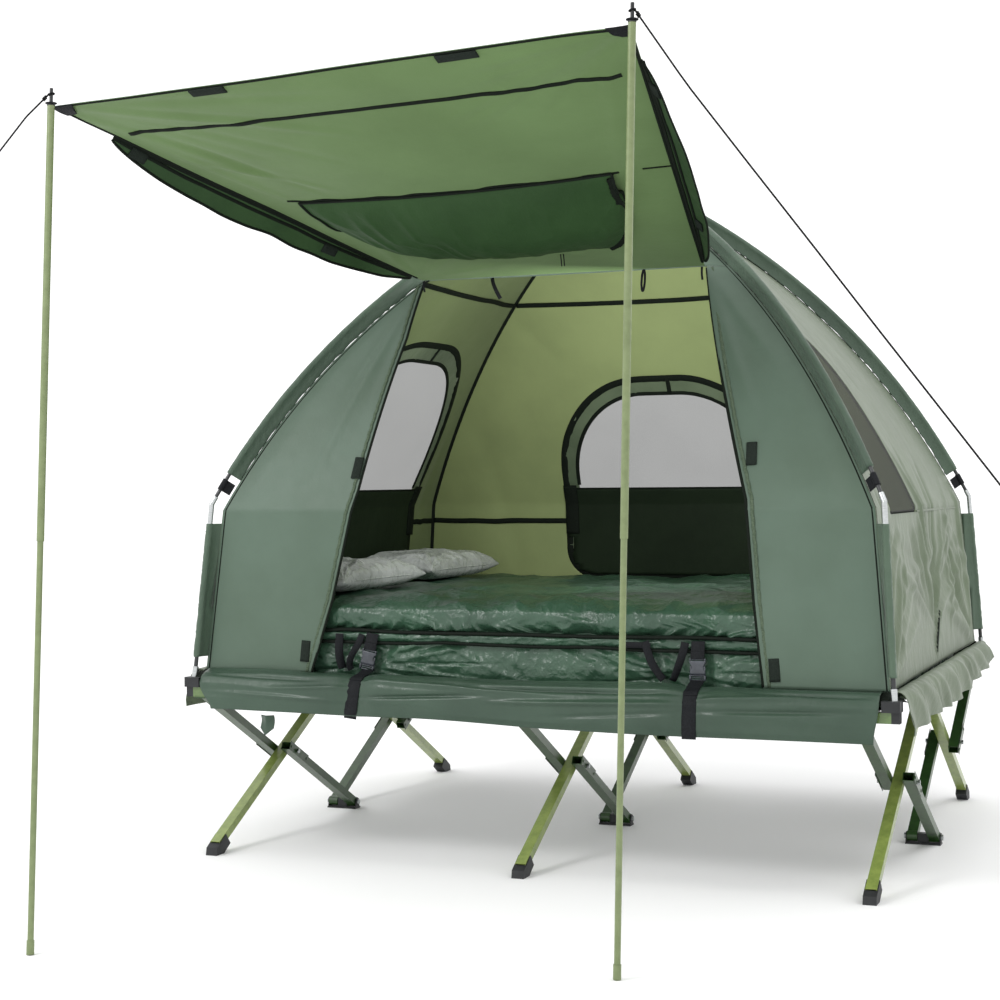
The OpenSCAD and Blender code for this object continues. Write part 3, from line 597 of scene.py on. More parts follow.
seam_tape = woven_tape("seam_tape", "#0e130e", "#171e17", 0.8)
zip_teeth = woven_tape("zip_teeth", "#3a4839", "#5d6b58", 0.7)
hook_tape = woven_tape("hook_tape", "#1b211d", "#272e29", 0.9)
rope_braid = woven_tape("rope_braid", "#0b0c0d", "#1a1b1c", 0.7)
leg_paint = painted_tube("leg_paint", "#6c7d3c", "#83934c")
inner_paint = painted_tube("inner_paint", "#1c3515", "#28461d", (0.26, 0.40), 0.15)
gusset_paint = painted_tube("gusset_paint", "#1d3316", "#2a4420", (0.26, 0.40), 0.15)
rail_paint = painted_tube("rail_paint", "#4f6638", "#5f7745")
awning_paint = painted_tube("awning_paint", "#66734a", "#748158", (0.34, 0.46), 0.15)
black_pole = painted_tube("black_pole", "#17191b", "#222527", (0.3, 0.42), 0.2)
bright_steel = bare_metal("bright_steel", "#a9adad", "#c9cccc")
bolt_steel = bare_metal("bolt_steel", "#8d9292", "#b0b4b4")
black_plastic = moulded_plastic("black_plastic", "#141618", "#1d2022")
buckle_plastic = moulded_plastic("buckle_plastic", "#3a3d43", "#494d54", (0.18, 0.28), 0.12)
shoe_rubber = moulded_plastic("shoe_rubber", "#191b1c", "#26282a", (0.5, 0.66), 0.5)
window_net = netting("window_net", "#585a58", 0.74)
end_net = netting("end_net", "#2a2c29", 0.80)

for name, finish in {
        "front_outer_legs": leg_paint, "rear_outer_legs": leg_paint, "front_inner_legs": inner_paint,
        "rear_inner_legs": inner_paint, "front_gussets": gusset_paint, "rear_gussets": gusset_paint,
        "front_pivot_bolts": bolt_steel, "rear_pivot_bolts": bolt_steel, "centre_axles": bolt_steel,
        "front_foot_shoes": shoe_rubber, "rear_foot_shoes": shoe_rubber, "centre_foot_pads": shoe_rubber,
        "centre_brackets": black_plastic, "middle_rail": rail_paint, "middle_rail_caps": black_plastic,
        "front_rail": rail_paint, "rear_rail": rail_paint, "front_rail_caps": black_plastic,
        "rear_rail_caps": black_plastic, "end_bars": rail_paint, "corner_blocks": black_plastic,
        "pole_sockets": bright_steel, "corner_posts": black_pole, "elbow_tubes": bright_steel,
        "dome_hoops": black_pole, "apex_hub": black_plastic, "buckle_clips": buckle_plastic,
        "left_buckle_socket": buckle_plastic, "right_buckle_socket": buckle_plastic,
        "upper_pole_tubes": awning_paint, "left_lower_tube": awning_paint,
        "right_lower_tube": awning_paint, "left_pole_foot": awning_paint,
        "right_pole_foot": awning_paint, "pole_tips": black_plastic, "guy_hooks": bright_steel,
        "web_tabs": webbing}.items():
    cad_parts[name].data.materials.clear()
    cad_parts[name].data.materials.append(finish)


# ---------------------------------------------------------------- camera, floor and light

camera = bpy.data.objects.new("camera", bpy.data.cameras.new("camera"))
bpy.context.scene.collection.objects.link(camera)
camera.data.lens, camera.data.sensor_width = 67.25, 36.0
camera.data.clip_start, camera.data.clip_end = 0.1, 60
yaw, pitch, roll = 0.379, -0.008, -0.008
ahead = np.array([-math.sin(yaw) * math.cos(pitch), math.cos(yaw) * math.cos(pitch), math.sin(pitch)])
level = np.array([math.cos(yaw), math.sin(yaw), 0.0])
above = np.cross(level, ahead)
right = math.cos(roll) * level + math.sin(roll) * above
upward = -math.sin(roll) * level + math.cos(roll) * above
view = np.eye(4)
view[:3, 0], view[:3, 1], view[:3, 2], view[:3, 3] = right, upward, -ahead, (1.7047, -5.1773, 0.9923)
camera.matrix_world = Matrix(view.tolist())
bpy.context.scene.camera = camera
bpy.context.scene.view_settings.view_transform = "Standard"

studio = bpy.data.worlds.new("studio")
bpy.context.scene.world = studio
studio.use_nodes = True
studio.node_tree.nodes["Background"].inputs["Color"].default_value = (1, 1, 1, 1)
studio.node_tree.nodes["Background"].inputs["Strength"].default_value = 1.3

for name, place, aim, size, power in (
        ("key", (-2.6, -4.4, 4.0), (0, 0, 0.8), 1.6, 95),
        ("right_fill", (3.3, -1.7, 4.9), (0, 0, 0.8), 1.2, 22),
        ("tent_glow", (0.15, -0.42, 1.20), (-0.25, 0.9, 1.15), 0.55, 7),
        ("under_fill", (0, 0, 0.375), (0, 0.001, 0), 1.5, 1.8)):
    lamp = bpy.data.objects.new(name, bpy.data.lights.new(name, "AREA"))
    bpy.context.scene.collection.objects.link(lamp)
    lamp.data.shape, lamp.data.size, lamp.data.energy = "DISK", size, power
    lamp.visible_camera = False
    back = unit(np.array(place, float) - np.array(aim, float))
    side = unit(np.cross([0, 1, 0.01], back))
    turn = np.eye(4)
    turn[:3, 0], turn[:3, 1], turn[:3, 2], turn[:3, 3] = side, np.cross(back, side), back, place
    lamp.matrix_world = Matrix(turn.tolist())

floor_mesh = bpy.data.meshes.new("floor")
floor_mesh.from_pydata([(-30, -30, 0), (30, -30, 0), (30, 30, 0), (-30, 30, 0)], [], [(0, 1, 2, 3)])
floor = bpy.data.objects.new("floor", floor_mesh)
bpy.context.scene.collection.objects.link(floor)
pale = new_finish("pale_floor", Roughness=0.9, Base_Color=(0.92, 0.92, 0.92, 1))[0]
floor_mesh.materials.append(pale)


# ---------------------------------------------------------------- guy ropes

def knot(centre, axis, size, turns, seed):
    """A small whipped knot: a helix of rope wound turns times round an axis."""
    t = np.linspace(0, 2 * PI * turns, 18 * turns)
    axis = unit(np.asarray(axis, float))
    across, up = frames(np.stack([centre - axis, centre + axis]), np.array([0.3, 0.2, 1.0]))
    side = across[0] * np.cos(t + seed)[:, None] + up[0] * np.sin(t + seed)[:, None]
    climb = axis * (t / t[-1] - 0.5)[:, None] * ROPE_D * turns * 0.9
    return tube(centre + side * size + climb, ROPE_D * 0.42, axis, 8)


for side_name, points, body, pole_top in (("left", ROPE_LEFT, "awning_poles", TOP_LEFT),
                                          ("right", ROPE_RIGHT, "awning_poles", TOP_RIGHT)):
    route = along(points, 31)
    rope = make(f"{side_name}_guy_rope", tube(route, ROPE_D / 2, (0, 1, 0), 10), [rope_braid], body,
                ["guy_ropes"])
    start, end = route[0], route[-1]
    head = np.array([pole_top[0], pole_top[1] + 0.001, start[2] + 0.001])
    loop_t = np.linspace(0, 2 * PI, 25)[:-1]
    eye = head + np.stack([np.cos(loop_t), np.sin(loop_t), 0.25 * np.cos(loop_t)], -1) * 0.0065
    parts = [tube(eye, ROPE_D * 0.45, (0, 0, 1), 8, closed=True),
             knot(route[0] + unit(route[1] - route[0]) * 0.012, route[1] - route[0], ROPE_D * 0.75, 3, 0.4),
             knot(end - unit(end - route[-2]) * 0.010, end - route[-2], ROPE_D * 0.75, 4, 1.0)]
    ties = make(f"{side_name}_rope_ties", gather(parts), [rope_braid], body)


# ---------------------------------------------------------------- tent walls

MIDDLE = np.array([0.0, 0.0, 0.9])  # cloth of the tent faces away from here
WALL_THICK = 0.0011


def cloth_area(surface):
    """Area of a surface's cells, as two triangles each."""
    points, cells = surface[:2]
    a, b, c, d = (points[cells[:, k]] for k in range(4))
    return 0.5 * float((np.linalg.norm(np.cross(b - a, c - a), axis=1)
                        + np.linalg.norm(np.cross(c - a, d - a), axis=1)).sum())


def declare_sheet(surface):
    """Works out how big a piece of cloth was cut, the flat box round it and its own area; the results are not
    used.
    """
    cells, uv = surface[1:]
    used = uv[np.unique(cells)]
    width, length = (float(x) for x in used.max(0) - used.min(0))
    area = min(cloth_area(surface), width * length)


def wall_cloth(face, rows, columns, low, high, rise, left=None, right=None, window=None, inside=False,
               off=0.0):
    """One side of the tent. Rows run up the cloth's profile, columns from edge to edge (or between the
    left and right lines, (across, height) pairs), and rise(a, z, reach) moves it outwards by metres."""
    z = heights(rows, low, high)[:, None] + np.zeros((rows, columns))
    half = face_half(face, z)
    first = -half if left is None else np.interp(z, left[:, 1], left[:, 0])
    last = half if right is None else np.interp(z, right[:, 1], right[:, 0])
    share = np.linspace(0, 1, columns)[None]
    a = first + (last - first) * share
    keep = None
    if window is not None:
        a, z, keep = cut_to(window, a, z, 0.011, inside)
    points = on_face(face, a, z, off + rise(a, z, face_half(face, z)))
    run = np.r_[0, np.cumsum(np.linalg.norm(np.diff(points, axis=0), axis=-1).mean(1))]
    uv = np.stack([a, np.broadcast_to(run[:, None], a.shape)], -1)
    return grid(points, uv, keep)


def hollow(a, reach, depth):
    """Cloth stretched between two hoops lies slightly inside the flat: depth·(1 - (across / half)²)."""
    return -depth * np.clip(1 - (a / np.maximum(reach, 0.001)) ** 2, 0, 1) * ease(0.0, 0.3, reach)


def soft_wall(depth, bumps, lines=(), window=None):
    """A rise() for wall_cloth: hollow between the hoops, low hills and named folds, which die out at the
    seams and round a window."""
    def rise(a, z, reach):
        edge = ease(0.0, 0.10, reach - np.abs(a))
        if window:
            edge = edge * ease(0.010, 0.07, window_gap(window)(a, z))
        soft = bumps * (hills(a * 5.5, z * 3.0, 3) + 0.5 * hills(a * 13, z * 6, 8))
        return hollow(a, reach, depth) + (soft + folds(a, z, lines)) * edge
    return rise


back = wall_cloth("back", 150, 150, WALL_LOW, CLOTH_TOP, soft_wall(0.006, 0.0016, [
    (-0.55, 0.62, -0.70, 1.25, 0.035, 0.004), (-0.30, 1.36, -0.55, 1.60, 0.03, 0.003),
    (0.45, 1.30, 0.30, 1.62, 0.03, 0.003)], BACK_WINDOW), window=window_gap(BACK_WINDOW))
wall = make("back_wall_cloth", back, [shell_outside, shell_inside_painted_light], "tent", ["back_wall"],
            MIDDLE, WALL_THICK)
declare_sheet(back)

left = wall_cloth("left", 150, 130, WALL_LOW, CLOTH_TOP, soft_wall(0.006, 0.0016, [
    (-0.30, 1.45, -0.10, 1.66, 0.03, 0.003), (0.62, 0.80, 0.55, 1.3, 0.03, 0.003)], LEFT_WINDOW),
                  window=window_gap(LEFT_WINDOW))
wall = make("left_wall_cloth", left, [side_outside, end_inside_painted_light], "tent", ["left_wall"],
            MIDDLE, WALL_THICK)
declare_sheet(left)

# The right end has a short zip below its window, and the cloth puckers along it and pulls away from it
SLIT = np.array([[0.114, 0.631], [0.012, 0.529]])
right_folds = (
    fan(11, 17, (0.05, 0.60), (20, 158), 0.62, 0.015, 0.0120)
    + fan(12, 8, (0.63, 0.52), (75, 165), 0.50, 0.016, 0.013)
    + fan(13, 8, (-0.66, 0.52), (12, 95), 0.50, 0.016, 0.013)
    + fan(14, 6, (-0.42, 0.90), (200, 262), 0.42, 0.015, 0.009)
    + fan(15, 6, (0.36, 0.90), (262, 335), 0.40, 0.015, 0.009)
    + [(-0.60, 0.70, 0.55, 0.86, 0.022, 0.006), (-0.50, 0.84, 0.40, 0.70, 0.02, -0.005),
       (-0.35, 1.44, -0.12, 1.66, 0.02, 0.004), (0.38, 1.40, 0.12, 1.68, 0.022, 0.004)])
slit_mid, slit_way = SLIT.mean(0), unit(SLIT[1] - SLIT[0])


def right_rise(a, z, reach):
    """The right end: soft folds, and a tight pucker of short ridges across its zip."""
    down = (a - slit_mid[0]) * slit_way[0] + (z - slit_mid[1]) * slit_way[1]
    aside = np.abs((a - slit_mid[0]) * slit_way[1] - (z - slit_mid[1]) * slit_way[0])
    near = np.exp(-(aside / 0.035) ** 2) * ease(0.10, 0.07, np.abs(down))
    return soft_wall(0.005, 0.0022, right_folds, RIGHT_WINDOW)(a, z, reach) + near * 0.005 * np.sin(
        down * 2 * PI / 0.017)


right_part = wall_cloth("right", 240, 200, WALL_LOW, CLOTH_TOP, right_rise, window=window_gap(RIGHT_WINDOW))
wall = make("right_wall_cloth", right_part, [side_outside, end_inside_painted_light], "tent", ["right_wall"],
            MIDDLE, WALL_THICK)
declare_sheet(right_part)

# Front panels: flat and smooth, with pulls at the top corner by the hinge and along the door's edge
left_pulls = fan(21, 8, (-0.44, 1.57), (192, 262), 0.62, 0.016, 0.0045) + [
    (-0.86, 0.93, -0.60, 1.35, 0.03, 0.004), (-0.60, 0.52, -0.74, 0.90, 0.05, 0.004)]
front_left = wall_cloth("front", 150, 60, WALL_LOW, DOOR_TOP, soft_wall(0.004, 0.0014, left_pulls),
                        right=DOOR_LEFT)
wall = make("front_left_cloth", front_left, [shell_outside, shell_inside_painted_light], "tent", ["front_left_panel"],
            MIDDLE, WALL_THICK)
declare_sheet(front_left)

right_pulls = fan(22, 8, (0.38, 1.57), (-82, -8), 0.60, 0.016, 0.0045) + [
    (0.88, 0.93, 0.62, 1.35, 0.03, 0.004), (0.64, 0.52, 0.78, 0.95, 0.05, 0.004),
    (0.74, 0.60, 0.80, 1.30, 0.05, -0.004)]
front_right = wall_cloth("front", 150, 60, WALL_LOW, DOOR_TOP, soft_wall(0.004, 0.0014, right_pulls),
                         left=DOOR_RIGHT)
wall = make("front_right_cloth", front_right, [shell_outside, shell_inside_painted_light], "tent", ["front_right_panel"],
            MIDDLE, WALL_THICK)
declare_sheet(front_right)

roof = wall_cloth("front", 50, 90, DOOR_TOP + 0.0004, CLOTH_TOP, soft_wall(0.003, 0.0012))
wall = make("front_roof_cloth", roof, [shell_outside, shell_inside_painted_light], "tent", ["front_roof_panel"],
            MIDDLE, WALL_THICK)
declare_sheet(roof)


# ---------------------------------------------------------------- windows

def still(depth):
    """A rise() that only follows the hollow of the wall."""
    return lambda a, z, reach: hollow(a, reach, depth)


for net_name, finish, panes, flat in (
        ("window_netting", window_net, (("back", BACK_WINDOW, 0.006), ("left", LEFT_WINDOW, 0.006)),
         (1.70, 0.75)),
        ("end_window_netting", end_net, (("right", RIGHT_WINDOW, 0.005),), (0.42, 0.60))):
    nets = gather([wall_cloth(face, 90, 90, w[1] - 0.02, w[2] + 0.02, still(depth),
                              window=window_gap(w, -0.004), inside=True, off=0.0004)
                   for face, w, depth in panes])
    net = make(net_name, nets, [finish], "tent", ["window_meshes"], MIDDLE)
    area = min(cloth_area(nets), flat[0] * flat[1])
    [f"{p[0]}_wall_cloth" for p in panes]


flaps = gather([wall_cloth(face, 70, 90, w[1] - 0.02, FLAP_TOP + 0.02,
                           lambda a, z, reach: hollow(a, reach, 0.006) + 0.002 * hills(a * 8, z * 5, 31),
                           window=window_gap(w, -0.006, FLAP_TOP), inside=True, off=-0.008)
                for face, w in (("back", BACK_WINDOW), ("left", LEFT_WINDOW))])
flap = make("window_flap_cloth", flaps, [flap_cloth_painted_shade, flap_cloth_painted_shade], "tent", ["window_flaps"],
            MIDDLE, 0.001)
cloth_area(flaps)


def face_tape(face, line, width, thick, off, depth=0.006, closed=False, waver=0.0, seed=0):
    """A tape stitched on one side of the tent along (across, height) points, off metres outwards."""
    line = np.asarray(line, float)
    a, z = line[:, 0], line[:, 1]
    if waver:
        run = np.linspace(0, len(line) / 9, len(line))
        a = a + waver * hills(run, run * 0 + seed, seed)
        z = z + waver * hills(run, run * 0 + seed + 9, seed + 2)
    reach = face_half(face, z)
    base = off + hollow(a, reach, depth)
    path = on_face(face, a, z, base)
    out = unit(on_face(face, a, z, base + 0.01) - path)
    return tape(path, out, width, thick, closed)


def band_between(face, line, inner, off, depth=0.006):
    """The strip of gathered netting between a window's edge and its inner line, crumpled along its length."""
    share = np.linspace(0, 1, 6)[:, None, None]
    both = line[None] * (1 - share) + inner[None] * share
    both = np.concatenate([both, both[:, :1]], 1)
    a, z = both[..., 0], both[..., 1]
    run = np.arange(a.shape[1])[None] + 0 * a
    puff = 0.0016 * ridges(run * 0.55, share[..., 0] * 2.2 + run * 0.05, 4)
    points = on_face(face, a, z, off + hollow(a, face_half(face, z), depth) + puff)
    return grid(points, np.stack([run * 0.01, share[..., 0] * BAND + 0 * a], -1))


bindings, bands = [], []
for face, window, seed in (("back", BACK_WINDOW, 1), ("left", LEFT_WINDOW, 2), ("right", RIGHT_WINDOW, 3)):
    line = window_line(window)
    inner = window_line(window, -BAND)
    bindings.append(face_tape(face, line, *((0.024, 0.0048, -0.0006) if face != "right" else
                                            (0.016, 0.0024, -0.0034)), closed=True, waver=0.0015, seed=seed))
    high = inner[inner[:, 1] > FLAP_TOP]
    if face != "right":
        start = int(np.argmax((inner[:, 1] > FLAP_TOP) & (np.roll(inner[:, 1], 1) <= FLAP_TOP)))
        turned = np.roll(inner, -start, 0)[:len(high)]
        bindings.append(face_tape(face, turned, 0.013, 0.003, -0.002))
        bands.append(band_between(face, line, inner, -0.0015))
        for sign in (-1, 1):
            x = window[3] + sign * (window[0] / 2 - 0.014)
            bindings.append(face_tape(face, along([[x, 0.83], [x, FLAP_TOP + 0.01]], 20), 0.046, 0.004,
                                      -0.010))
        top = np.array([[window[3] - window[0] / 2 + 0.02, FLAP_TOP], [window[3] + window[0] / 2 - 0.02,
                                                                     FLAP_TOP]])
        bindings.append(face_tape(face, along(top, 40), 0.006, 0.003, -0.0095))
    crown = np.array([[window[3] + 0.03, window[2]], [window[3] + 0.03, window[2] - BAND]])
    bindings.append(face_tape(face, along(crown, 8), 0.014, 0.0036, -0.0026))
make("window_bindings", gather(bindings), [seam_tape], "tent")
band_piece = make("window_bands", gather(bands), [band_cloth, band_cloth], "tent",
                  centre=MIDDLE, thick=0.0006)
BAND_RUN = 5.6  # along both windows' bands
area = min(cloth_area(gather(bands)), BAND_RUN * BAND)


# ---------------------------------------------------------------- seams, zips and tabs

seams = []
for face in ("back", "left"):
    for z, off in ((1.562, -0.004), (0.872, -0.004)):
        reach = float(face_half(face, np.array(z)))
        w = BACK_WINDOW if face == "back" else LEFT_WINDOW
        spans = ([(-reach + 0.01, reach - 0.01)] if z > 1.0 else
                 [(-reach + 0.01, w[3] - w[0] / 2), (w[3] + w[0] / 2, reach - 0.01)])
        for lo, hi in spans:
            line = along([[lo, z], [hi, z]], 60)
            seams.append(face_tape(face, line, 0.017, 0.003, off, waver=0.002, seed=int(z * 10)))
z = heights(90, WALL_LOW + 0.002, CLOTH_TOP - 0.02)
for sx in (-1, 1):
    for sy in (-1, 1):
        x = profile_of(z) - 0.005
        path = np.stack([sx * x, sy * ACROSS * x, z], -1)
        seams.append(tape(path, (sx, sy * 1.25, 0.2), 0.014, 0.004))
make("inside_seam_tapes", gather(seams), [seam_tape], "tent")

door_z = heights(120, 0.497, DOOR_TOP - 0.004)
door_lines = [np.stack([np.interp(door_z, d[:, 1], d[:, 0]), door_z], -1) for d in (DOOR_LEFT, DOOR_RIGHT)]
edges, teeth = [], []
for line, way, seed in zip(door_lines, (-1, 1), (5, 6)):
    edges.append(face_tape("front", line, 0.008, 0.0040, 0.0, 0.004))
    coil = line + np.array([way * 0.015, 0])
    rough = 0.0010 * np.sin(np.arange(len(coil)) * 2.1)
    teeth.append(face_tape("front", coil + np.stack([rough, 0 * rough], -1), 0.009, 0.0030, 0.0012, 0.004))
make("door_bindings", gather(edges), [seam_tape], "tent")
make("door_zip_teeth", gather(teeth), [zip_teeth], "tent")

tabs = []
for a, z, way in ((-0.503, 1.041, -1), (-0.628, 0.553, -1), (0.577, 1.065, 1), (0.650, 0.539, 1)):
    line = along([[a, z - 0.028], [a - 0.004 * way, z + 0.028]], 8)
    tabs.append(face_tape("front", line, 0.027, 0.0045, 0.0030, 0.004))
make("door_tabs", gather(tabs), [hook_tape], "tent")

slit_line = along(SLIT, 24)
slit = [face_tape("right", slit_line, 0.009, 0.0034, 0.0035, 0.005)]
make("end_zip", gather(slit), [hook_tape], "tent")
sill_seam = face_tape("right", along([[-0.104, 0.914], [0.690, 0.914]], 60), 0.006, 0.0020, 0.0012, 0.005)
make("end_seam", sill_seam, [side_outside], "tent")


# ---------------------------------------------------------------- pole sleeves

def hoop_place(t, inset):
    """Points of a hoop, out along its diagonal and up, for t from 0 at the elbow to 1 at the top."""
    angle = ELBOW_ANGLE + (PI / 2 - ELBOW_ANGLE) * t
    arc = angle < CROWN_ANGLE
    d = np.where(arc, ARC_OUT + (ARC_R - inset) * np.cos(angle), (CROWN_R - inset) * np.cos(angle))
    z = np.where(arc, ARC_UP + (ARC_R - inset) * np.sin(angle), CROWN_UP + (CROWN_R - inset) * np.sin(angle))
    return d, z


def sleeve(sx, sy, count=200):
    """Cloth tunnel over one hoop: a teardrop round the pole that runs in to the wall's corner seam, with
    small gathers along it."""
    t = np.linspace(0.0435, 0.948, count)
    d, z = hoop_place(t, 0.0)
    d_in, z_in = hoop_place(t, 1.0)
    away = unit(np.stack([d - d_in, z - z_in], -1))
    turn = np.linspace(0, 2 * PI, 22, endpoint=False)
    shape = np.stack([0.0092 * np.sin(turn), 0.0092 * np.cos(turn)], -1)
    tail = np.cos(turn) < -0.72
    shape[tail] = np.stack([0.0016 * np.sign(np.sin(turn[tail]) + 1e-9),
                            -0.012 - 0.022 * (-np.cos(turn[tail]) - 0.72) / 0.28], -1)
    run = np.arange(count)[:, None]
    gather_up = (1 + 0.10 * ridges(run * 0.42, turn[None] * 0.8, 12 + sx)
                 + 0.05 * hills(run * 0.13, turn[None], 4))
    side = shape[None, :, 0] * gather_up
    out = shape[None, :, 1] * (1 + 0.05 * ridges(run * 0.5, turn[None], 7 + sy))
    radial = out[..., None] * away[:, None]
    dd, zz = d[:, None] + radial[..., 0], z[:, None] + radial[..., 1]
    k = 1 / SIDE_K
    x, y = dd * k, dd * k * ACROSS
    x, y = x + side * ACROSS / SIDE_K, y - side / SIDE_K
    points = np.stack([sx * x, sy * y, zz], -1)
    points = np.concatenate([points, points[:, :1]], 1)
    caps = [np.repeat(points[i, :-1].mean(0)[None], points.shape[1], 0)[None] for i in (0, -1)]
    points = np.concatenate([caps[0], points, caps[1]])
    return grid(points, run_uv(points, 0.07))


def post_sleeve(sx, sy, count=70):
    """The same tunnel on a corner post, with a flat strip to the corner of the wall."""
    t = np.linspace(0.115, 0.885, count)[:, None]
    path = POST_FOOT * (1 - t) + POST_HEAD * t
    turn = np.linspace(0, 2 * PI, 22, endpoint=False)
    run = np.arange(count)[:, None]
    radius = 0.0092 * (1 + 0.10 * ridges(run * 0.5, turn[None] * 0.8, 20 + sx) + 0 * turn[None])
    x = path[:, :1] + radius * np.cos(turn)
    y = path[:, 1:2] + radius * np.sin(turn)
    inner = np.stack([profile_of(path[:, 2]) - 0.002, ACROSS * (profile_of(path[:, 2]) - 0.002)], -1)
    toward = unit(inner - path[:, :2])
    facing = np.cos(turn)[None] * toward[:, :1] + np.sin(turn)[None] * toward[:, 1:]
    pull = ease(0.86, 1.0, facing)
    x = x + (inner[:, :1] - x) * pull * 0.98
    y = y + (inner[:, 1:] - y) * pull * 0.98
    z = np.broadcast_to(path[:, 2:3], x.shape)
    points = np.stack([sx * x, sy * y, z], -1)
    points = np.concatenate([points, points[:, :1]], 1)
    caps = [np.repeat(points[i, :-1].mean(0)[None], points.shape[1], 0)[None] for i in (0, -1)]
    points = np.concatenate([caps[0], points, caps[1]])
    return grid(points, run_uv(points, 0.07))


corners = [(-1, -1), (1, -1), (-1, 1), (1, 1)]
make("pole_sleeve_cloth", gather([sleeve(*c) for c in corners] + [post_sleeve(*c) for c in corners]),
     [sleeve_cloth], "tent", ["pole_sleeves"])


# ---------------------------------------------------------------- skirts

def skirt_cloth_at(profile, span, left_cut, hem, rise, count=(60, 300)):
    """A bolster skirt: its profile (out, height) smoothed and carried along the cot from one end of span
    to the other. left_cut and hem trim its lower corners and its hem, and rise(x, s) swells it outwards,
    s being 0 at the wall and 1 at the hem. Returned as (x, out, height) with its texture places."""
    rows, columns = count
    line = smooth_path(profile, rows)
    way = np.gradient(line, axis=0)
    outward = unit(np.stack([way[:, 1], -way[:, 0]], -1))
    if outward[rows // 2, 0] < 0:
        outward = -outward
    s = np.linspace(0, 1, rows)[:, None]
    share = np.linspace(0, 1, columns)[None]
    first = span[0] + left_cut[0] * ease(0.45, 1, s)
    last = span[1] - left_cut[1] * ease(0.45, 1, s)
    x = first + (last - first) * share
    trim = s * (1 - hem(x) * ease(0.35, 1, s))
    run = np.linspace(0, 1, rows)
    out = np.interp(trim, run, line[:, 0]) + rise(x, s) * np.interp(trim, run, outward[:, 0])
    high = np.interp(trim, run, line[:, 1]) + rise(x, s) * np.interp(trim, run, outward[:, 1])
    uv = np.stack([x, trim * 0.20], -1)
    return x, out, high, uv


def front_rise(x, s):
    """Front bolster: long flat folds along it, drawn in under each strap with short folds either side."""
    height = 0.0040 * hills(x * 2.2, s * 2.5, 41) + 0.0022 * ridges(x * 3.4, s * 5.0, 42)
    for strap in STRAP_X:
        height = height - 0.010 * np.exp(-((x - strap) / 0.035) ** 2) * np.sin(PI * np.clip(s, 0, 1)) ** 0.5
        height = height + 0.004 * np.exp(-((np.abs(x - strap) - 0.075) / 0.04) ** 2) * np.sin(PI * s)
    lines = [(-0.88, 0.30, -0.55, 0.36, 0.035, -0.004), (-0.70, 0.52, -0.47, 0.46, 0.03, 0.004),
             (-0.85, 0.62, -0.50, 0.72, 0.04, 0.003), (-0.43, 0.35, 0.05, 0.44, 0.03, 0.005),
             (-0.42, 0.62, -0.10, 0.50, 0.03, -0.005), (-0.15, 0.40, 0.43, 0.36, 0.028, -0.006),
             (-0.05, 0.60, 0.43, 0.52, 0.035, 0.006), (0.10, 0.80, 0.42, 0.64, 0.03, -0.003),
             (0.47, 0.45, 0.72, 0.38, 0.03, 0.005), (0.47, 0.62, 0.85, 0.56, 0.035, -0.004),
             (0.60, 0.30, 0.90, 0.34, 0.03, -0.004), (-0.90, 0.10, -0.60, 0.16, 0.03, 0.003),
             (0.0, 0.16, 0.44, 0.10, 0.02, 0.003)]
    return height + 1.7 * folds(x, s, lines)


def front_hem(x):
    """How far the front hem is drawn up: least at the right, most in the left half."""
    return 0.03 + 0.09 * ease(0.1, -0.30, x) + 0.04 * hills(x * 2.4, 0 * x, 7)


x, out, high, uv = skirt_cloth_at(FRONT_SKIRT, (-0.911, 0.911), (0.036, 0.012), front_hem, front_rise)
front_skirt = grid(np.stack([x, -out, high], -1), uv)
skirt = make("front_skirt_cloth", front_skirt, [skirt_cloth, skirt_cloth], "tent", ["front_skirt"],
             np.array([0, 0, 0.40]), 0.0018)
declare_sheet(front_skirt)

x, out, high, uv = skirt_cloth_at(FRONT_SKIRT, (-0.911, 0.911), (0.012, 0.012),
                                  lambda x: 0.05 + 0.05 * hills(x * 2.4, 0 * x, 9),
                                  lambda x, s: 0.003 * hills(x * 2.2, s * 2.5, 51)
                                  + 0.002 * ridges(x * 3.4, s * 5.0, 52))
rear_skirt = grid(np.stack([x, out, high], -1), uv)
skirt = make("rear_skirt_cloth", rear_skirt, [skirt_cloth, skirt_cloth], "tent", ["rear_skirt"],
             np.array([0, 0, 0.40]), 0.0018)
declare_sheet(rear_skirt)


def end_rise(x, s):
    """End skirts: deep folds that run slantwise from the wall down to the hem."""
    lean_x = x - 0.16 * s
    wave = np.sin((lean_x * 15 + 0.8 * hills(x * 2.3, s, 61)) * 2.2)
    return (0.0078 * wave * ease(0.05, 0.5, s) + 0.0026 * ridges(lean_x * 26, s * 1.6, 62)) * (
        0.5 + 0.5 * ease(0.02, 0.25, s))


ends = []
for sign in (-1, 1):
    x, out, high, uv = skirt_cloth_at(
        END_SKIRT, (-0.752, 0.752), (0.0, 0.02),
        lambda x: 0.04 + 0.26 * ease(-0.05, 0.7, x) + 0.05 * hills(x * 3, 0 * x, 5), end_rise, (50, 260))
    ends.append(grid(np.stack([sign * out, x, high], -1), uv))
skirt = make("end_skirt_cloth", gather(ends), [side_outside, side_outside], "tent", ["end_skirts"],
             np.array([0, 0, 0.40]), 0.0016)
END_SKIRTS_RUN, END_SKIRTS_DROP = 3.008, 0.15
min(cloth_area(gather(ends)), END_SKIRTS_RUN * END_SKIRTS_DROP)

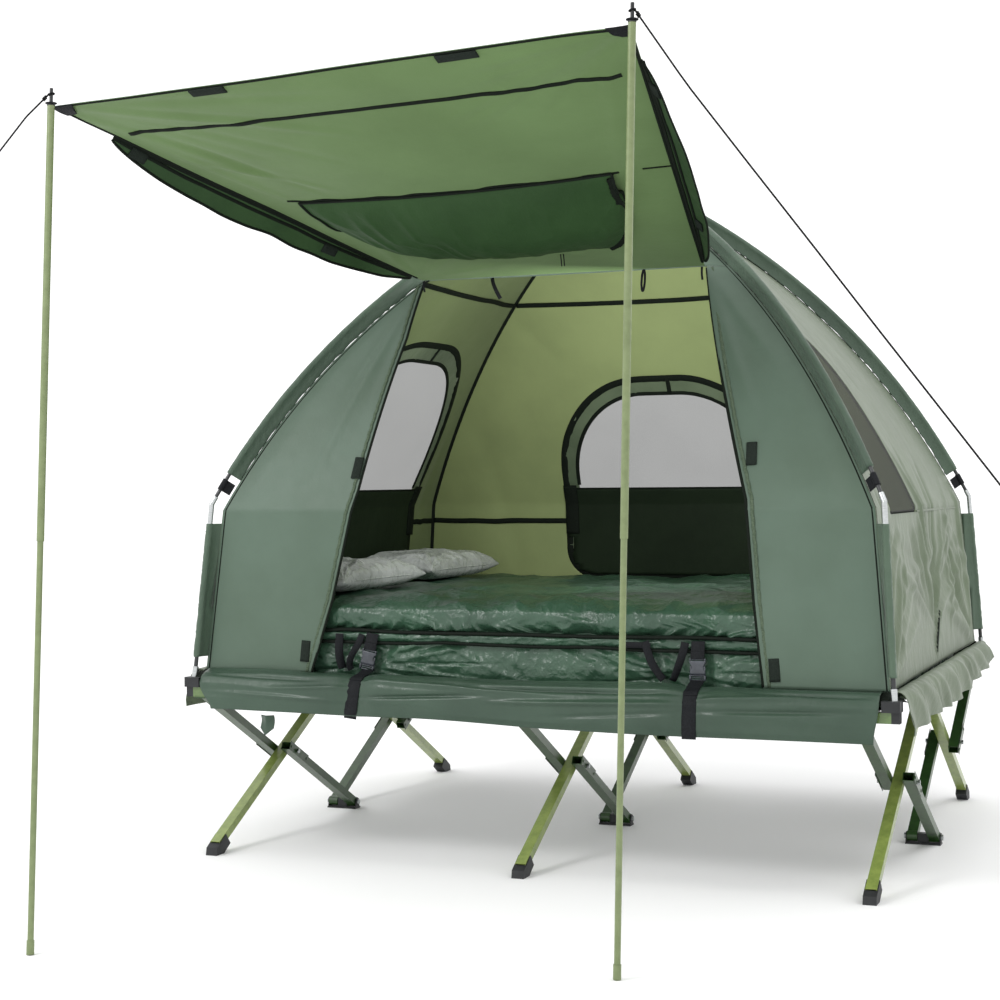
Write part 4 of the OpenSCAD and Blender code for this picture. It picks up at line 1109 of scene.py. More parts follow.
patches = []
for sx in (-1, 1):
    for sy in (-1, 1):
        u, v = np.meshgrid(np.linspace(0, 1, 16), np.linspace(0, 1, 16), indexing="ij")
        p00, p01 = np.array([0.906, 0.742, 0.498]), np.array([0.929, 0.742, 0.496])
        p10, p11 = np.array([0.909, 0.806, 0.470]), np.array([0.972, 0.758, 0.476])
        at = ((p00 * (1 - u[..., None]) + p10 * u[..., None]) * (1 - v[..., None])
              + (p01 * (1 - u[..., None]) + p11 * u[..., None]) * v[..., None])
        at[..., 2] += 0.006 * np.sin(PI * v) * u + 0.0015 * ridges(u * 5, v * 5, 3)
        patches.append(grid(at * np.array([sx, sy, 1]), np.stack([u, v], -1) * 0.06))
make("corner_patches", gather(patches), [seam_tape, seam_tape], "tent",
     centre=np.array([0, 0, 0.30]), thick=0.0016)

# a small blank cloth tab that hangs below the hem near the left end
u, v = np.meshgrid(np.linspace(0, 1, 12), np.linspace(0, 1, 14), indexing="ij")
tab = np.stack([-0.735 + 0.040 * v, -0.800 + 0.012 * np.abs(v - 0.5) * 2 + 0.004 * np.sin(4 * u),
                0.384 - 0.052 * u * (1 - 0.35 * np.abs(v - 0.5) * 2)], -1)
make("hem_tab", grid(tab, np.stack([v, u], -1) * 0.04), [skirt_cloth, skirt_cloth], "tent",
     centre=np.array([0, 0, 0.3]), thick=0.002)


# ---------------------------------------------------------------- deck and tent floor

u, v = np.meshgrid(np.linspace(-1, 1, 120), np.linspace(-1, 1, 100), indexing="ij")
deck = np.stack([0.911 * u, 0.794 * v, 0.4578 - 0.0008 * (1 - v ** 2) * np.cos(u * PI * 1.5) ** 2 - 0.0006
                 + 0.0004 * hills(u * 6, v * 6, 3)], -1)
deck_cells = grid(deck, np.stack([0.911 * u, 0.794 * v], -1))
deck_piece = make("cot_canvas", deck_cells, [deck_cloth, deck_cloth], "canvas", ["canvas_deck"],
                  np.array([0, 0, 0.30]), 0.0014)
declare_sheet(deck_cells)
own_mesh(deck_piece)

ground = np.stack([0.912 * u, 0.754 * v, 0.4602 + 0.0006 * hills(u * 9, v * 9, 8)], -1)
ground_cells = grid(ground, np.stack([0.912 * u, 0.754 * v], -1))
ground_piece = make("tent_floor_cloth", ground_cells, [floor_cloth, floor_cloth], "tent", ["tent_floor"],
                    np.array([0, 0, 0.30]), 0.001)
declare_sheet(ground_cells)


# ---------------------------------------------------------------- bedding

SQUARENESS = 9.0  # power of the bedding's superellipse outline


def pad(half_x, half_y, low, high, rows, around, side, top):
    """A closed cushion: a rounded rectangle carried up its side and in over its top. side(t, run, ring)
    pushes the side outwards, t from 0 at the bottom seam to 1 at the top one and run metres round it,
    and top(x, y, inside) raises the top, inside being the distance in from the edge."""
    turn = np.linspace(0, 2 * PI, around + 1)
    n = SQUARENESS
    c, s = np.cos(turn), np.sin(turn)
    k = (np.abs(c) ** n + np.abs(s) ** n) ** (-1 / n)
    ring = np.stack([c * k, s * k], -1)
    # even spacing round the outline
    ring = along(ring * np.array([half_x, half_y]), around + 1)
    outward = unit(np.stack([np.sign(ring[:, 0]) * np.abs(ring[:, 0] / half_x) ** (n - 1) / half_x,
                             np.sign(ring[:, 1]) * np.abs(ring[:, 1] / half_y) ** (n - 1) / half_y], -1))
    layers = []
    for scale in np.linspace(0.0, 1.0, 10)[:-1]:
        xy = ring * scale
        layers.append(np.stack([xy[:, 0], xy[:, 1], low + 0 * xy[:, 0]], -1))
    run = np.arange(around + 1) / around
    length = float(np.linalg.norm(np.diff(ring, axis=0), axis=1).sum())
    for t in np.linspace(0, 1, rows):
        push = side(t, run * length, ring)
        xy = ring + outward * push[:, None]
        layers.append(np.stack([xy[:, 0], xy[:, 1], low + (high - low) * t + 0 * xy[:, 0]], -1))
    edge = layers[-1][:, :2]
    inset = np.r_[np.linspace(0, 0.30, 46)[1:] ** 1.3 / 0.30 ** 0.3, np.linspace(0.31, 1, 44)]
    for part in inset:
        xy = edge * (1 - part)
        inside = part * min(half_x, half_y)
        layers.append(np.stack([xy[:, 0], xy[:, 1], high + top(xy[:, 0], xy[:, 1], inside)], -1))
    points = np.stack(layers)
    points[:, -1] = points[:, 0]
    v = np.r_[0, np.cumsum(np.linalg.norm(np.diff(points, axis=0), axis=-1).mean(1))]
    uv = np.stack(np.broadcast_arrays(run[None] * length, v[:, None]), -1)
    return grid(points, uv)


def strap_pulls(t, ring, hub_t):
    """Creases on the front of the mattress that run out from each strap's buckle."""
    lines = []
    for strap in STRAP_X:
        lines += [(strap + s, hub_t + h, strap + s2, hub_t + h2, w, d) for s, h, s2, h2, w, d in (
            (0.03, 0.0, 0.26, 0.42, 0.028, 0.006), (0.03, -0.05, 0.32, -0.30, 0.028, 0.006),
            (0.03, 0.1, 0.14, 0.52, 0.02, 0.006), (0.04, -0.12, 0.20, -0.48, 0.02, -0.005),
            (-0.03, 0.0, -0.25, 0.38, 0.028, 0.006), (-0.03, -0.05, -0.30, -0.32, 0.028, -0.006),
            (0.04, 0.03, 0.36, 0.08, 0.022, -0.006), (-0.04, 0.03, -0.22, 0.05, 0.022, 0.005),
            (-0.03, 0.12, -0.13, 0.5, 0.02, -0.005), (0.05, 0.2, 0.30, 0.62, 0.02, -0.004))]
    x = ring[:, 0]
    front = ring[:, 1] < 0
    return folds(x, t + 0 * x, lines) * front


def mattress_side(t, run, ring):
    """Mattress border: bulging a little, finely crumpled, drawn in at its two straps."""
    near = sum(np.exp(-((ring[:, 0] - s) / 0.05) ** 2) for s in STRAP_X) * (ring[:, 1] < 0)
    wrinkles = (0.0065 * crinkle(run * 15, t * 2.2 + 0 * run, 71)
                + 0.0038 * ridges(run * 36, t * 3 + 0 * run, 72))
    calm = 0.35 + 0.65 * ease(0.16, 0.42, np.abs(ring[:, 0] + 0.02))
    slant = ridges(run * 13 + t * 3.4, t * 1.2 + 0 * run, 73) * 0.0052
    pulls = strap_pulls(t, ring, 0.50) * 1.25
    body = -0.013 + 0.009 * math.sin(PI * t) + wrinkles * calm + slant * 0.8 - 0.009 * near + pulls
    return np.minimum(body, 0.003)


mattress = pad(0.900, 0.709, BED_LOW, MATTRESS_TOP, 34, 1500, mattress_side,
               lambda x, y, inside: -0.0005 + 0 * x)
mattress_piece = make("mattress_body", mattress, [mattress_satin], "tent", ["mattress"])


def base_side(t, run, ring):
    """The sleeping bag's flat base: a thin crumpled roll between two lines of piping."""
    return (-0.008 + 0.007 * math.sin(PI * t) + 0.0050 * crinkle(run * 17, t * 1.6 + 0 * run, 81)
            + 0.0032 * hills(run * 5, t + 0 * run, 82) * math.sin(PI * t))


base = pad(0.900, 0.711, MATTRESS_TOP + 0.0006, BASE_TOP, 12, 900, base_side,
           lambda x, y, inside: 0 * x)
base_piece = make("sleeping_bag_base_body", base, [bed_satin], "tent", ["sleeping_bag_base"])


def quilt_side(t, run, ring):
    """Quilt border: plump, with dense gathers just above the piping that fade upwards."""
    gathers = ridges(run * 27 + 1.2 * hills(run * 4, t * 2 + 0 * run, 90), t * 1.2 + 0 * run, 91)
    broad = ridges(run * 9 + t * 0.8, t * 0.9 + 0 * run, 92)
    puff = math.sqrt(max(math.sin(PI * (0.06 + 0.60 * t)), 0))
    slits = ridges(run * 44 + 2.0 * hills(run * 6, 0 * run, 93), t * 1.8 + 0 * run, 94)
    tucks = 0.0100 * gathers * (1 - ease(0.10, 0.95, t)) + 0.0042 * slits * (1 - ease(0.0, 0.6, t))
    return -0.040 + 0.036 * puff + (tucks + 0.0095 * broad * (1 - 0.4 * t)) * ease(0, 0.12, t + 0.02)


def quilt_top(x, y, inside):
    """Quilt top: rises in a soft roll from its edge, then lies in low uneven swells with long creases."""
    roll = 0.036 * np.sqrt(np.clip(inside / 0.11, 0, 1) * (2 - np.clip(inside / 0.11, 0, 1)))
    swell = 0.0080 * hills(x * 3.2, y * 4.5, 95) + 0.006 * hills(x * 7, y * 9, 96)
    creases = 0.0075 * ridges(x * 5 + y * 1.6, y * 7 - x, 97) + 0.0036 * ridges(x * 13, y * 15, 98)
    near = 0.0095 * ridges(x * 15, y * 3.2, 99) * np.exp(-inside / 0.09)
    return roll + (swell + creases) * ease(0.0, 0.10, inside + 0 * x) + near * ease(0, 0.03, inside + 0 * x)


quilt = pad(0.893, 0.712, BASE_TOP + 0.0010, BASE_TOP + 0.052, 24, 1500, quilt_side, quilt_top)
quilt_piece = make("sleeping_bag_quilt_body", quilt, [bed_satin], "tent", ["sleeping_bag_quilt"])


def bed_outline(count, half_x, half_y, out):
    """The rounded outline of the bedding, out metres outside its own size."""
    turn = np.linspace(0, 2 * PI, 721)
    c, s = np.cos(turn), np.sin(turn)
    k = (np.abs(c) ** SQUARENESS + np.abs(s) ** SQUARENESS) ** (-1 / SQUARENESS)
    ring = np.stack([c * k * (half_x + out), s * k * (half_y + out)], -1)
    return along(ring, count + 1)[:-1]


cords = []
for z, radius, waver, seed in ((BASE_TOP + 0.001, 0.0052, 0.0035, 3),
                               (MATTRESS_TOP - 0.001, 0.0045, 0.0045, 6)):
    ring = bed_outline(500, 0.898, 0.709, 0.001)
    run = np.arange(500)
    wave = waver * hills(run * 0.09, 0 * run, seed) * np.sin(PI * run / 500) ** 0.2
    path = np.stack([ring[:, 0], ring[:, 1], z + wave], -1)
    cords.append(tube(path, radius, (0, 0, 1), 8, closed=True))
make("bedding_piping", gather(cords), [piping], "tent")


def pillow(half_x, half_y, height, seed, centre, low):
    """A soft pillow: two crowned faces that meet in a seam, pinched at the corners. Height over the plane
    is height·((1 - u⁴)(1 - v⁴))^0.42, with creases towards the corners and small ridges along its edges."""
    n = 110
    u, v = np.meshgrid(np.sin(np.linspace(-PI / 2, PI / 2, n)), np.sin(np.linspace(-PI / 2, PI / 2, n)),
                       indexing="ij")
    body = np.clip((1 - u ** 4) * (1 - v ** 4), 0, 1) ** 0.42
    ear = 0.045 * (u ** 2) * (v ** 2)
    x = half_x * u * (1 - 0.075 * (1 - u ** 2) * v ** 2 - 0.07 * (1 - v ** 2) * u ** 2 + ear)
    y = half_y * v * (1 - 0.07 * (1 - u ** 2) * v ** 2 + ear)
    corner = (np.abs(u) * np.abs(v)) ** 1.5
    crease = 0.0060 * ridges(u * 3 + v * 2, v * 4 - u, seed) * body
    pull = 0.0090 * np.sin(np.arctan2(v - np.sign(v), u - np.sign(u)) * 16) * corner * body
    edge = 0.0040 * ridges(u * 8, v * 8, seed + 1) * ease(0.75, 0.98, np.maximum(np.abs(u), np.abs(v)))
    swell = 0.006 * hills(u * 2.4, v * 2.4, seed + 2) * body
    up = height * 0.62 * body + crease + pull + swell * 0.8 + edge * body
    down = -height * 0.38 * np.clip(body * 1.25, 0, 1) + 0.3 * edge * body
    faces = []
    for z in (up, down):
        zz = low + height * 0.38 + z
        faces.append(grid(np.stack([centre[0] + x, centre[1] + y, zz], -1), np.stack([x, y], -1)))
    return gather(faces)


PILLOWS = ((0.158, 0.258, -0.712, -0.390, 5), (0.139, 0.263, -0.731, 0.285, 9))
PILLOW_LOW, PILLOW_HIGH = 0.7025, 0.080
pillow_parts = [pillow(half_x, half_y, PILLOW_HIGH, seed, (cx, cy), PILLOW_LOW)
                for half_x, half_y, cx, cy, seed in PILLOWS]
pillow_piece = make("pillow_pair", gather(pillow_parts), [pillow_satin], "tent", ["pillows"])
seam_lines = []
for half_x, half_y, cx, cy, seed in PILLOWS:
    t = np.linspace(0, 2 * PI, 241)[:-1]
    c, s = np.cos(t), np.sin(t)
    k = (np.abs(c) ** 8 + np.abs(s) ** 8) ** (-1 / 8)
    uu, vv = c * k, s * k
    xx = half_x * uu * (1 - 0.075 * (1 - uu ** 2) * vv ** 2 - 0.07 * (1 - vv ** 2) * uu ** 2
                        + 0.045 * uu ** 2 * vv ** 2)
    yy = half_y * vv * (1 - 0.07 * (1 - uu ** 2) * vv ** 2 + 0.045 * uu ** 2 * vv ** 2)
    seam_lines.append(tube(np.stack([cx + xx, cy + yy, PILLOW_LOW + PILLOW_HIGH * 0.38 + 0 * xx], -1), 0.0022,
                           (0, 0, 1), 8, closed=True))
make("pillow_seams", gather(seam_lines), [pillow_satin], "tent")
# ---------------------------------------------------------------- awning

AWNING_DOWN = unit(np.cross(HINGE_RIGHT - HINGE_LEFT, CORNER_LEFT + CORNER_RIGHT - HINGE_LEFT - HINGE_RIGHT))
AWNING_WIDE, AWNING_DEEP = 1.10, 1.32  # mean width, and depth from hinge to front edge
AWNING_FOLDS = (fan(51, 7, (0.0, 1.32), (-78, -14), 0.60, 0.016, 0.0045)
                + fan(52, 7, (1.10, 1.32), (-166, -102), 0.55, 0.016, 0.0045)
                + fan(53, 5, (0.0, 0.0), (20, 75), 0.50, 0.016, 0.004)
                + [(0.04, 1.10, 0.10, 0.66, 0.014, 0.004), (0.10, 1.06, 0.22, 0.70, 0.014, -0.004),
                   (0.05, 0.98, 0.26, 0.72, 0.012, 0.004), (1.04, 1.13, 0.98, 0.70, 0.018, 0.005)])


def awning_drop(u, v):
    """How far the awning's cloth hangs below the flat: one long sag, a shallow billow in each of its three
    sewn panels, and folds from its corners."""
    a, b = AWNING_WIDE * u, AWNING_DEEP * v
    sag = 0.016 * np.sin(PI * np.clip(u, 0, 1)) * np.sin(PI * np.clip(v, 0, 1))
    panel = np.where(v < 0.495, v / 0.495, np.where(v < 0.855, (v - 0.495) / 0.36, (v - 0.855) / 0.145))
    billow = 0.005 * np.sin(PI * np.clip(panel, 0, 1)) * np.sin(PI * np.clip(u, 0, 1)) ** 0.5
    soft = 0.0016 * hills(a * 5, b * 3.5, 54) + folds(a, b, AWNING_FOLDS)
    return sag + billow + soft * ease(0.0, 0.06, v)


def awning_at(u, v, under=0.0):
    """Points of the hanging awning: v = 0 at the hinge and 1 at the front edge, u = 0 left and 1 right,
    under metres below the cloth."""
    u, v, under = (np.asarray(k, float)[..., None] for k in np.broadcast_arrays(u, v, under))
    near = HINGE_LEFT * (1 - u) + HINGE_RIGHT * u
    far = CORNER_LEFT * (1 - u) + CORNER_RIGHT * u
    return near * (1 - v) + far * v + AWNING_DOWN * (awning_drop(u, v) + under)


def awning_tape(line, steps, width, thick, under, waver=0.0, seed=0):
    """A tape stitched under the awning along (u, v) points, with a slight waver in v."""
    line = along(line, steps)
    run = np.linspace(0, steps / 8, steps)
    v = line[:, 1] + waver * hills(run, 0 * run, seed)
    return tape(awning_at(line[:, 0], v, under), AWNING_DOWN, width, thick)


v, u = np.meshgrid(np.r_[0, np.linspace(0.004, 1, 150)], np.linspace(0, 1, 130), indexing="ij")
awning_points = awning_at(u, v)
joined = awning_points[:1] + np.array([0, 0.0090, 0.0012])
awning_points = np.concatenate([joined, awning_points])
run = np.r_[0, np.cumsum(np.linalg.norm(np.diff(awning_points, axis=0), axis=-1).mean(1))]
awning_uv = np.stack([awning_points[..., 0], np.broadcast_to(run[:, None], awning_points.shape[:2])], -1)
awning_cloth = grid(awning_points, awning_uv)
awning_piece = make("awning_cloth", awning_cloth, [awning_over, awning_under_painted_light], None, ["awning_panel"],
                    np.array([0, -1.0, 0.9]), 0.0011)
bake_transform(awning_piece)

tapes = gather([awning_tape([[0.037, 0.867], [0.959, 0.842]], 120, 0.016, 0.0032, 0.0014, 0.0012, 1),
                awning_tape([[0.083, 0.503], [0.876, 0.487]], 140, 0.009, 0.0036, 0.0016, 0.006, 2),
                awning_tape([[0.93, 0.487], [1.0, 0.482]], 12, 0.007, 0.003, 0.0014),
                awning_tape([[0.0, 0.9955], [1.0, 0.9955]], 120, 0.009, 0.0046, 0.0006),
                awning_tape([[0.004, 0.02], [0.004, 0.995]], 120, 0.009, 0.0044, 0.0006),
                awning_tape([[0.996, 0.02], [0.996, 0.995]], 120, 0.009, 0.0044, 0.0006)])
awning_seams = make("awning_seam_tapes", tapes, [seam_tape], "awning")


def side_band(left, count=130, across=16):
    """The zip band that hangs from one side edge: its width swells as the square root of a half sine
    between the hinge and the wide seam, and it droops away from the edge."""
    v = np.linspace(0.035, 0.862 if left else 0.885, count)[:, None]
    s = np.linspace(0, 1, across)[None]
    swell = np.sqrt(np.sin(PI * np.clip((v - 0.03) / 0.84, 0.004, 0.996)))
    wide = (0.058 if left else 0.066) * swell * (1 + 0.10 * hills(v * 7, 0 * v, 3 if left else 6))
    edge = awning_at(np.full(count, 0.0 if left else 1.0), v[:, 0])[:, None]
    out = np.array([-0.62, 0, -0.78]) if left else np.array([0.80, 0, -0.60])
    droop = np.array([0, 0, -1.0])
    ripple = 0.0035 * hills(v * 16, s * 2.2, 8) * s
    return edge + out * (s * wide)[..., None] + droop * (0.010 * s ** 2 * swell + ripple)[..., None], v, s


bands, band_trims, band_tabs = [], [], []
for left in (True, False):
    points, v, s = side_band(left)
    bands.append(grid(points, np.stack(np.broadcast_arrays(v * AWNING_DEEP, s * 0.06), -1)))
    facing = unit(np.cross(np.gradient(points, axis=0), np.gradient(points, axis=1)))
    facing = facing * np.where((facing * [0.0, -0.8, -0.6]).sum(-1, keepdims=True) < 0, -1, 1)
    for column, wide in ((1, 0.014), (5, 0.009), (15, 0.007)):
        way = facing[:, column]
        band_trims.append(tape(points[:, column] + way * 0.0014, way, wide, 0.0034))
    for place in ((0.80, 0.28) if left else (0.80, 0.25)):
        row = int(np.argmin(np.abs(v[:, 0] - place)))
        tab_line = points[row - 3:row + 4, 8] + facing[row - 3:row + 4, 8] * 0.0030
        band_tabs.append(tape(tab_line, facing[row - 3:row + 4, 8], 0.026, 0.0044))
band_piece = make("awning_side_bands", gather(bands), [awning_band, awning_band], "awning",
                  centre=np.array([0, -1.0, 2.4]), thick=0.0012)
trim_piece = make("awning_zip_lines", gather(band_trims), [seam_tape], "awning")
for line in ([[0.249, 0.985], [0.311, 0.985]], [[0.680, 0.983], [0.749, 0.983]]):
    band_tabs.append(awning_tape(line, 8, 0.030, 0.0044, 0.0030))
tab_piece = make("awning_hook_tabs", gather(band_tabs), [hook_tape], "awning")

caps = []
for u0, u1 in ((0.0, 0.040), (1.0, 0.960)):
    s, t = np.meshgrid(np.linspace(0, 1, 14), np.linspace(0, 1, 14), indexing="ij")
    cap_u = u0 + (u1 - u0) * s * (1 - 0.55 * t)
    cap_v = 1.002 - 0.036 * t
    caps.append(grid(awning_at(cap_u, cap_v, 0.0024 + 0.002 * np.sin(PI * t)), np.stack([s, t], -1) * 0.06))
cap_piece = make("awning_corner_caps", gather(caps), [webbing, webbing], "awning",
                 centre=np.array([0, -1.0, 2.4]), thick=0.0022)
area = cloth_area(awning_cloth)
wide, deep = float(np.ptp(awning_uv[..., 0])), float(run[-1])

grommets = []
for top in (TOP_LEFT, TOP_RIGHT):
    t = np.linspace(0, 2 * PI, 41)[:-1]
    ring = np.stack([np.cos(t), np.sin(t), 0 * t], -1)
    section = np.array([(-4, -0.9), (-3.2, -1.4), (3.2, -1.4), (4, -0.9), (4, 0.9), (3.2, 1.4), (-3.2, 1.4),
                        (-4, 0.9)]) * 0.001
    points = rings(top + ring * 0.0088, ring, np.broadcast_to([0, 0, 1.0], ring.shape), section, True)
    grommets.append(grid(points, run_uv(points, 0.03)))
make("corner_grommets", gather(grommets), [webbing], "awning_poles", ["corner_tabs"])


# ---------------------------------------------------------------- rolled door

def door_bag(p, q):
    """The door cloth gathered up under the awning: it hangs from the thin seam (q = 0) back to its lower
    edge (q = 1), drooping as a half sine, with rounded ends and bunched creases."""
    left_end = 0.45 + 0.55 * ease(0.0, 0.10, p)
    right_end = np.sqrt(1 - np.clip((p - 0.84) / 0.161, 0, 1) ** 2) * 0.86 + 0.14
    reach = 0.328 * left_end * right_end * (1 + 0.035 * hills(p * 9, 0 * p, 22))
    u = 0.105 + 0.755 * p - 0.012 * q * (1 - p) + 0.004 * q
    v = 0.4965 - 0.006 * p - q * reach
    full = np.clip(np.sin(PI * np.clip(q, 0.0, 1.0)), 0, 1) ** 0.7
    ends = np.sin(PI * np.clip(p, 0.012, 0.988)) ** 0.40
    creased = (0.0050 * ridges(p * 7 + q * 1.5, q * 2.2 - p, 23) + 0.0034 * ridges(p * 19, q * 3.4, 24)
               + 0.006 * hills(p * 5, q * 2, 25)) * full
    return awning_at(u, v, 0.0050 + 0.056 * full * ends + creased)


q, p = np.meshgrid(np.linspace(0, 1, 70), np.linspace(0, 1, 170), indexing="ij")
bag_points = door_bag(p, q)
bag = grid(bag_points, np.stack([p * 0.84, q * 0.50], -1))
bag_piece = make("rolled_door_cloth", bag, [door_cloth, door_cloth], "awning", ["rolled_door"],
                 np.array([0, -0.75, 2.6]), 0.0012)
outline = np.vstack([bag_points[0], bag_points[1:, -1], bag_points[-1, -2::-1], bag_points[-2:0:-1, 0]])
outline = along(np.vstack([outline, outline[:1]]), 361)[:-1]
edge_piece = make("rolled_door_piping", tube(outline, 0.0040, -AWNING_DOWN, 8, closed=True), [piping],
                  "awning")
t = np.linspace(0, 1, 90)
trim_p = np.r_[np.full(45, 0.992), np.linspace(0.99, 0.86, 45)]
trim_q = np.r_[np.linspace(0.05, 0.96, 45), np.full(45, 0.965)]
trim = door_bag(trim_p, trim_q) + AWNING_DOWN * 0.003 + np.stack(
    [0.0016 * np.sin(t * 150), 0 * t, 0.0012 * np.sin(t * 190)], -1)
zip_piece = make("rolled_door_zip", tape(trim, AWNING_DOWN, 0.018, 0.0040), [seam_tape], "awning")
BAG_WIDE, BAG_DEEP = 0.84, 0.50
area = min(cloth_area(bag), BAG_WIDE * BAG_DEEP)


# ---------------------------------------------------------------- loops and zip pulls

def hang(x, y, z, drop, slant, wide, thick, loop=False):
    """A short tape, or with loop a doubled one, that hangs from (x, y, z)."""
    t = np.linspace(0, 1, 14)
    if not loop:
        path = np.stack([x + slant * t ** 1.3, y - 0.004 * np.sin(PI * t), z - drop * t], -1)
        return tape(path, (0, -1, 0), wide, thick)
    t = np.linspace(0, 2 * PI, 41)[:-1]
    path = np.stack([x + slant * (1 - np.cos(t)) / 2 + 0.0045 * np.sin(t),
                     y - 0.002 + 0 * t, z - drop * (1 - np.cos(t)) / 2], -1)
    return tape(path, (0.2, -1, 0.1), wide, thick, closed=True)


hinge_y = HINGE_LEFT[1]
front_loops = gather([hang(-0.226, hinge_y - 0.003, 1.5655, 0.058, 0.024, 0.011, 0.0022),
                      hang(0.213, hinge_y - 0.003, 1.5655, 0.056, -0.004, 0.006, 0.0022, True),
                      hang(-0.4325, hinge_y - 0.004, 1.566, 0.030, 0.002, 0.006, 0.0024),
                      hang(0.3735, hinge_y - 0.004, 1.566, 0.034, 0.001, 0.006, 0.0024)])
make("door_top_loops", front_loops, [webbing], "tent")
make("zip_pulls", gather([tube(hang_path, 0.0016, (0, 1, 0), 8) for hang_path in (
    np.stack([x + 0.003 * np.linspace(0, 1, 12), y + 0 * np.linspace(0, 1, 12),
              z - 0.032 * np.linspace(0, 1, 12)], -1)
    for x, y, z in (awning_at(0.583, 0.131, 0.002), awning_at(0.592, 0.131, 0.002)))]),
     [webbing], "awning")


# ---------------------------------------------------------------- straps and buckles

SKIRT_GAP = 0.0028
strap_parts = []
for strap in STRAP_X:
    x, out, high, uv = skirt_cloth_at(FRONT_SKIRT, (strap - 0.004, strap + 0.004), (0.0, 0.0), front_hem,
                                      front_rise, (60, 3))
    lie = smooth_path(np.stack([out[:, 1], high[:, 1]], -1)[::6], 50)
    away = unit(np.stack([np.gradient(lie[:, 1]), -np.gradient(lie[:, 0])], -1))
    away = away * np.where(away[25, 0] < 0, -1, 1)
    lie = lie + away * SKIRT_GAP
    lie = lie[lie[:, 0] > 0.757]
    tail = lie[-1] + np.array([[0.0, -0.006], [-0.002, -0.020]])
    lie = np.vstack([[0.7205, 0.5150], [0.7235, 0.5075], [0.736, 0.5035], lie, tail])
    lie = smooth_path(lie[::2] if len(lie) % 2 else lie[1::2], 90)
    slant = -0.012 * np.linspace(0, 1, 90) ** 1.5 if strap < 0 else 0 * lie[:, 0]
    path = np.stack([strap + slant, -lie[:, 0], lie[:, 1]], -1)
    way = np.gradient(lie, axis=0)
    normal = unit(np.stack([0 * lie[:, 0], way[:, 1], way[:, 0]], -1))
    normal = normal * np.where(normal[:, 1:2] > 0, -1, 1)
    strap_parts.append(tape(path, normal, STRAP_W, 0.0022))
    patch_path = path[30:38] + normal[30:38] * 0.0018
    strap_parts.append(tape(patch_path, normal[30:38], STRAP_W + 0.0008, 0.0014))
make("lower_strap_webbing", gather(strap_parts), [webbing], "tent", ["lower_straps"])


def oblong(half_x, half_y, count=32, n=5.0):
    """A rounded oblong outline: |x / a|ⁿ + |y / b|ⁿ = 1."""
    t = np.linspace(0, 2 * PI, count, endpoint=False)
    c, s = np.cos(t), np.sin(t)
    k = (np.abs(c) ** n + np.abs(s) ** n) ** (-1 / n)
    return np.stack([c * k * half_x, s * k * half_y], -1)


def upright(x, y, stations):
    """A moulding carried up from rounded oblongs: stations are (height, half width, half depth)."""
    stations = np.asarray(stations, float)
    path = np.stack([x + 0 * stations[:, 0], y + 0 * stations[:, 0], stations[:, 0]], -1)
    section = np.stack([oblong(w, d) for w, d in stations[:, 1:]])
    ones = np.ones((len(path), 1))
    points = rings(path, ones * [1.0, 0, 0], ones * [0, 1.0, 0], section)
    return grid(points, run_uv(points, 0.10))


BUCKLE_Y, BUCKLE_Z = -0.724, 0.530


def turned(surface, x, angle):
    """A surface leant over in its own plane, round the buckle's middle."""
    points, cells, uv = surface
    c, s = math.cos(angle), math.sin(angle)
    dx, dz = points[:, 0] - x, points[:, 2] - BUCKLE_Z
    return np.stack([x + c * dx + s * dz, points[:, 1], BUCKLE_Z - s * dx + c * dz], -1), cells, uv


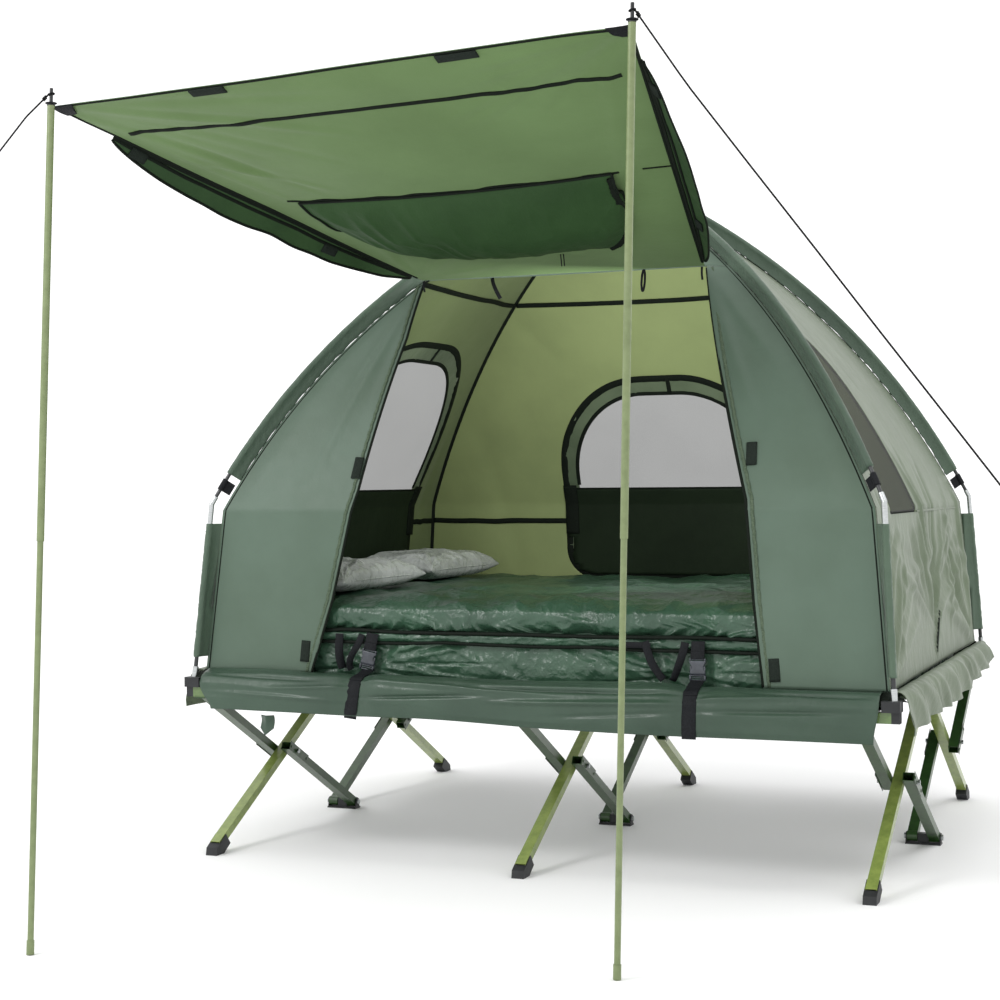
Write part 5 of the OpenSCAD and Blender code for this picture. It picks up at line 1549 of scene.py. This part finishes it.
clip_parts = []
for side_name, strap, lean in (("left", STRAP_X[0], 0.20), ("right", STRAP_X[1], 0.0)):
    z = BUCKLE_Z
    body = upright(strap, BUCKLE_Y, [(z - 0.0088, 0.0185, 0.0046), (z - 0.0080, 0.0196, 0.0056),
                                     (z - 0.0030, 0.0200, 0.0060), (z + 0.0010, 0.0188, 0.0060),
                                     (z + 0.0040, 0.0160, 0.0060), (z + 0.0110, 0.0158, 0.0060),
                                     (z + 0.0160, 0.0184, 0.0060), (z + 0.0200, 0.0205, 0.0058),
                                     (z + 0.0240, 0.0208, 0.0054), (z + 0.0255, 0.0200, 0.0046)])
    bar = tube(np.stack([np.linspace(-0.019, 0.019, 9) + strap, np.full(9, BUCKLE_Y),
                         np.full(9, z + 0.0292)], -1), 0.0022, (0, 0, 1), 10)
    posts = [upright(strap + s * 0.0188, BUCKLE_Y, [
        (z + 0.0240, 0.0018, 0.0036), (z + 0.0300, 0.0018, 0.0032), (z + 0.0312, 0.0010, 0.0018)])
        for s in (-1, 1)]
    socket = gather([turned(part, strap, lean) for part in (body, bar, *posts)])
    make(f"{side_name}_buckle_body", socket, [buckle_plastic], f"{side_name}_buckle",
         [f"{side_name}_buckle_socket"])
    top = np.array([strap + math.sin(lean) * 0.029, z + 0.029])
    high = np.linspace(0, 1, 20)
    shift = top[0] + (0.006 if lean else 0.0) * high
    path = np.stack([shift, BUCKLE_Y + 0.0010 + 0.006 * high ** 2, top[1] + (0.6030 - top[1]) * high], -1)
    upper = tape(path, (0, -1, 0), STRAP_W - 0.001, 0.0022)
    fold_path = path[:9] + np.array([0, -0.0024, 0])
    make(f"{side_name}_buckle_webbing", gather([upper, tape(fold_path, (0, -1, 0), STRAP_W - 0.001, 0.0020)]),
         [webbing], f"{side_name}_buckle")

    frame_bars = [tube(np.stack([np.linspace(-0.019, 0.019, 9) + strap, np.full(9, BUCKLE_Y),
                                 np.full(9, z + h)], -1), r, (0, 0, 1), 10)
                  for h, r in ((-0.0225, 0.0019), (-0.0170, 0.0014), (-0.0116, 0.0024))]
    sides = [upright(strap + s * 0.0186, BUCKLE_Y, [
        (z - 0.0240, 0.0012, 0.0030), (z - 0.0220, 0.0022, 0.0044),
        (z - 0.0120, 0.0024, 0.0050), (z - 0.0100, 0.0016, 0.0036)]) for s in (-1, 1)]
    prongs = [upright(strap + s * 0.0178, BUCKLE_Y, [
        (z - 0.0110, 0.0014, 0.0026), (z + 0.0010, 0.0017, 0.0028),
        (z + 0.0080, 0.0020, 0.0028), (z + 0.0130, 0.0012, 0.0022)]) for s in (-1, 1)]
    clip_parts += [turned(part, strap, lean) for part in (*frame_bars, *sides, *prongs)]
make("buckle_clip_bodies", gather(clip_parts), [buckle_plastic], "tent", ["buckle_clips"])

# folded webbing loops that hang down the front of the mattress
loops = []
for points, wide in (
        ([[-0.532, -0.7215, 0.601], [-0.533, -0.7240, 0.566], [-0.531, -0.7245, 0.536],
          [-0.524, -0.7225, 0.508]], 0.022),
        ([[-0.466, -0.7205, 0.600], [-0.474, -0.7290, 0.575], [-0.492, -0.7320, 0.545],
          [-0.500, -0.7290, 0.520], [-0.497, -0.7240, 0.506]], 0.018),
        ([[0.316, -0.7210, 0.600], [0.322, -0.7240, 0.580], [0.334, -0.7255, 0.548], [0.352, -0.7250, 0.520],
          [0.364, -0.7230, 0.506]], 0.020),
        ([[0.420, -0.7210, 0.600], [0.414, -0.7255, 0.572], [0.403, -0.7265, 0.540], [0.392, -0.7245, 0.512],
          [0.386, -0.7225, 0.504]], 0.020),
        ([[0.330, -0.7205, 0.588], [0.300, -0.7225, 0.590], [0.262, -0.7205, 0.589]], 0.016)):
    path = smooth_path(points, 40)
    turn = np.linspace(0, 1, 40)[:, None]
    loops.append(tape(path, unit(np.array([0.15, -1, 0]) * (1 - turn) + np.array([0.75, -0.65, 0]) * turn),
                      wide, 0.0024))
make("hanging_loops", gather(loops), [webbing], "tent")
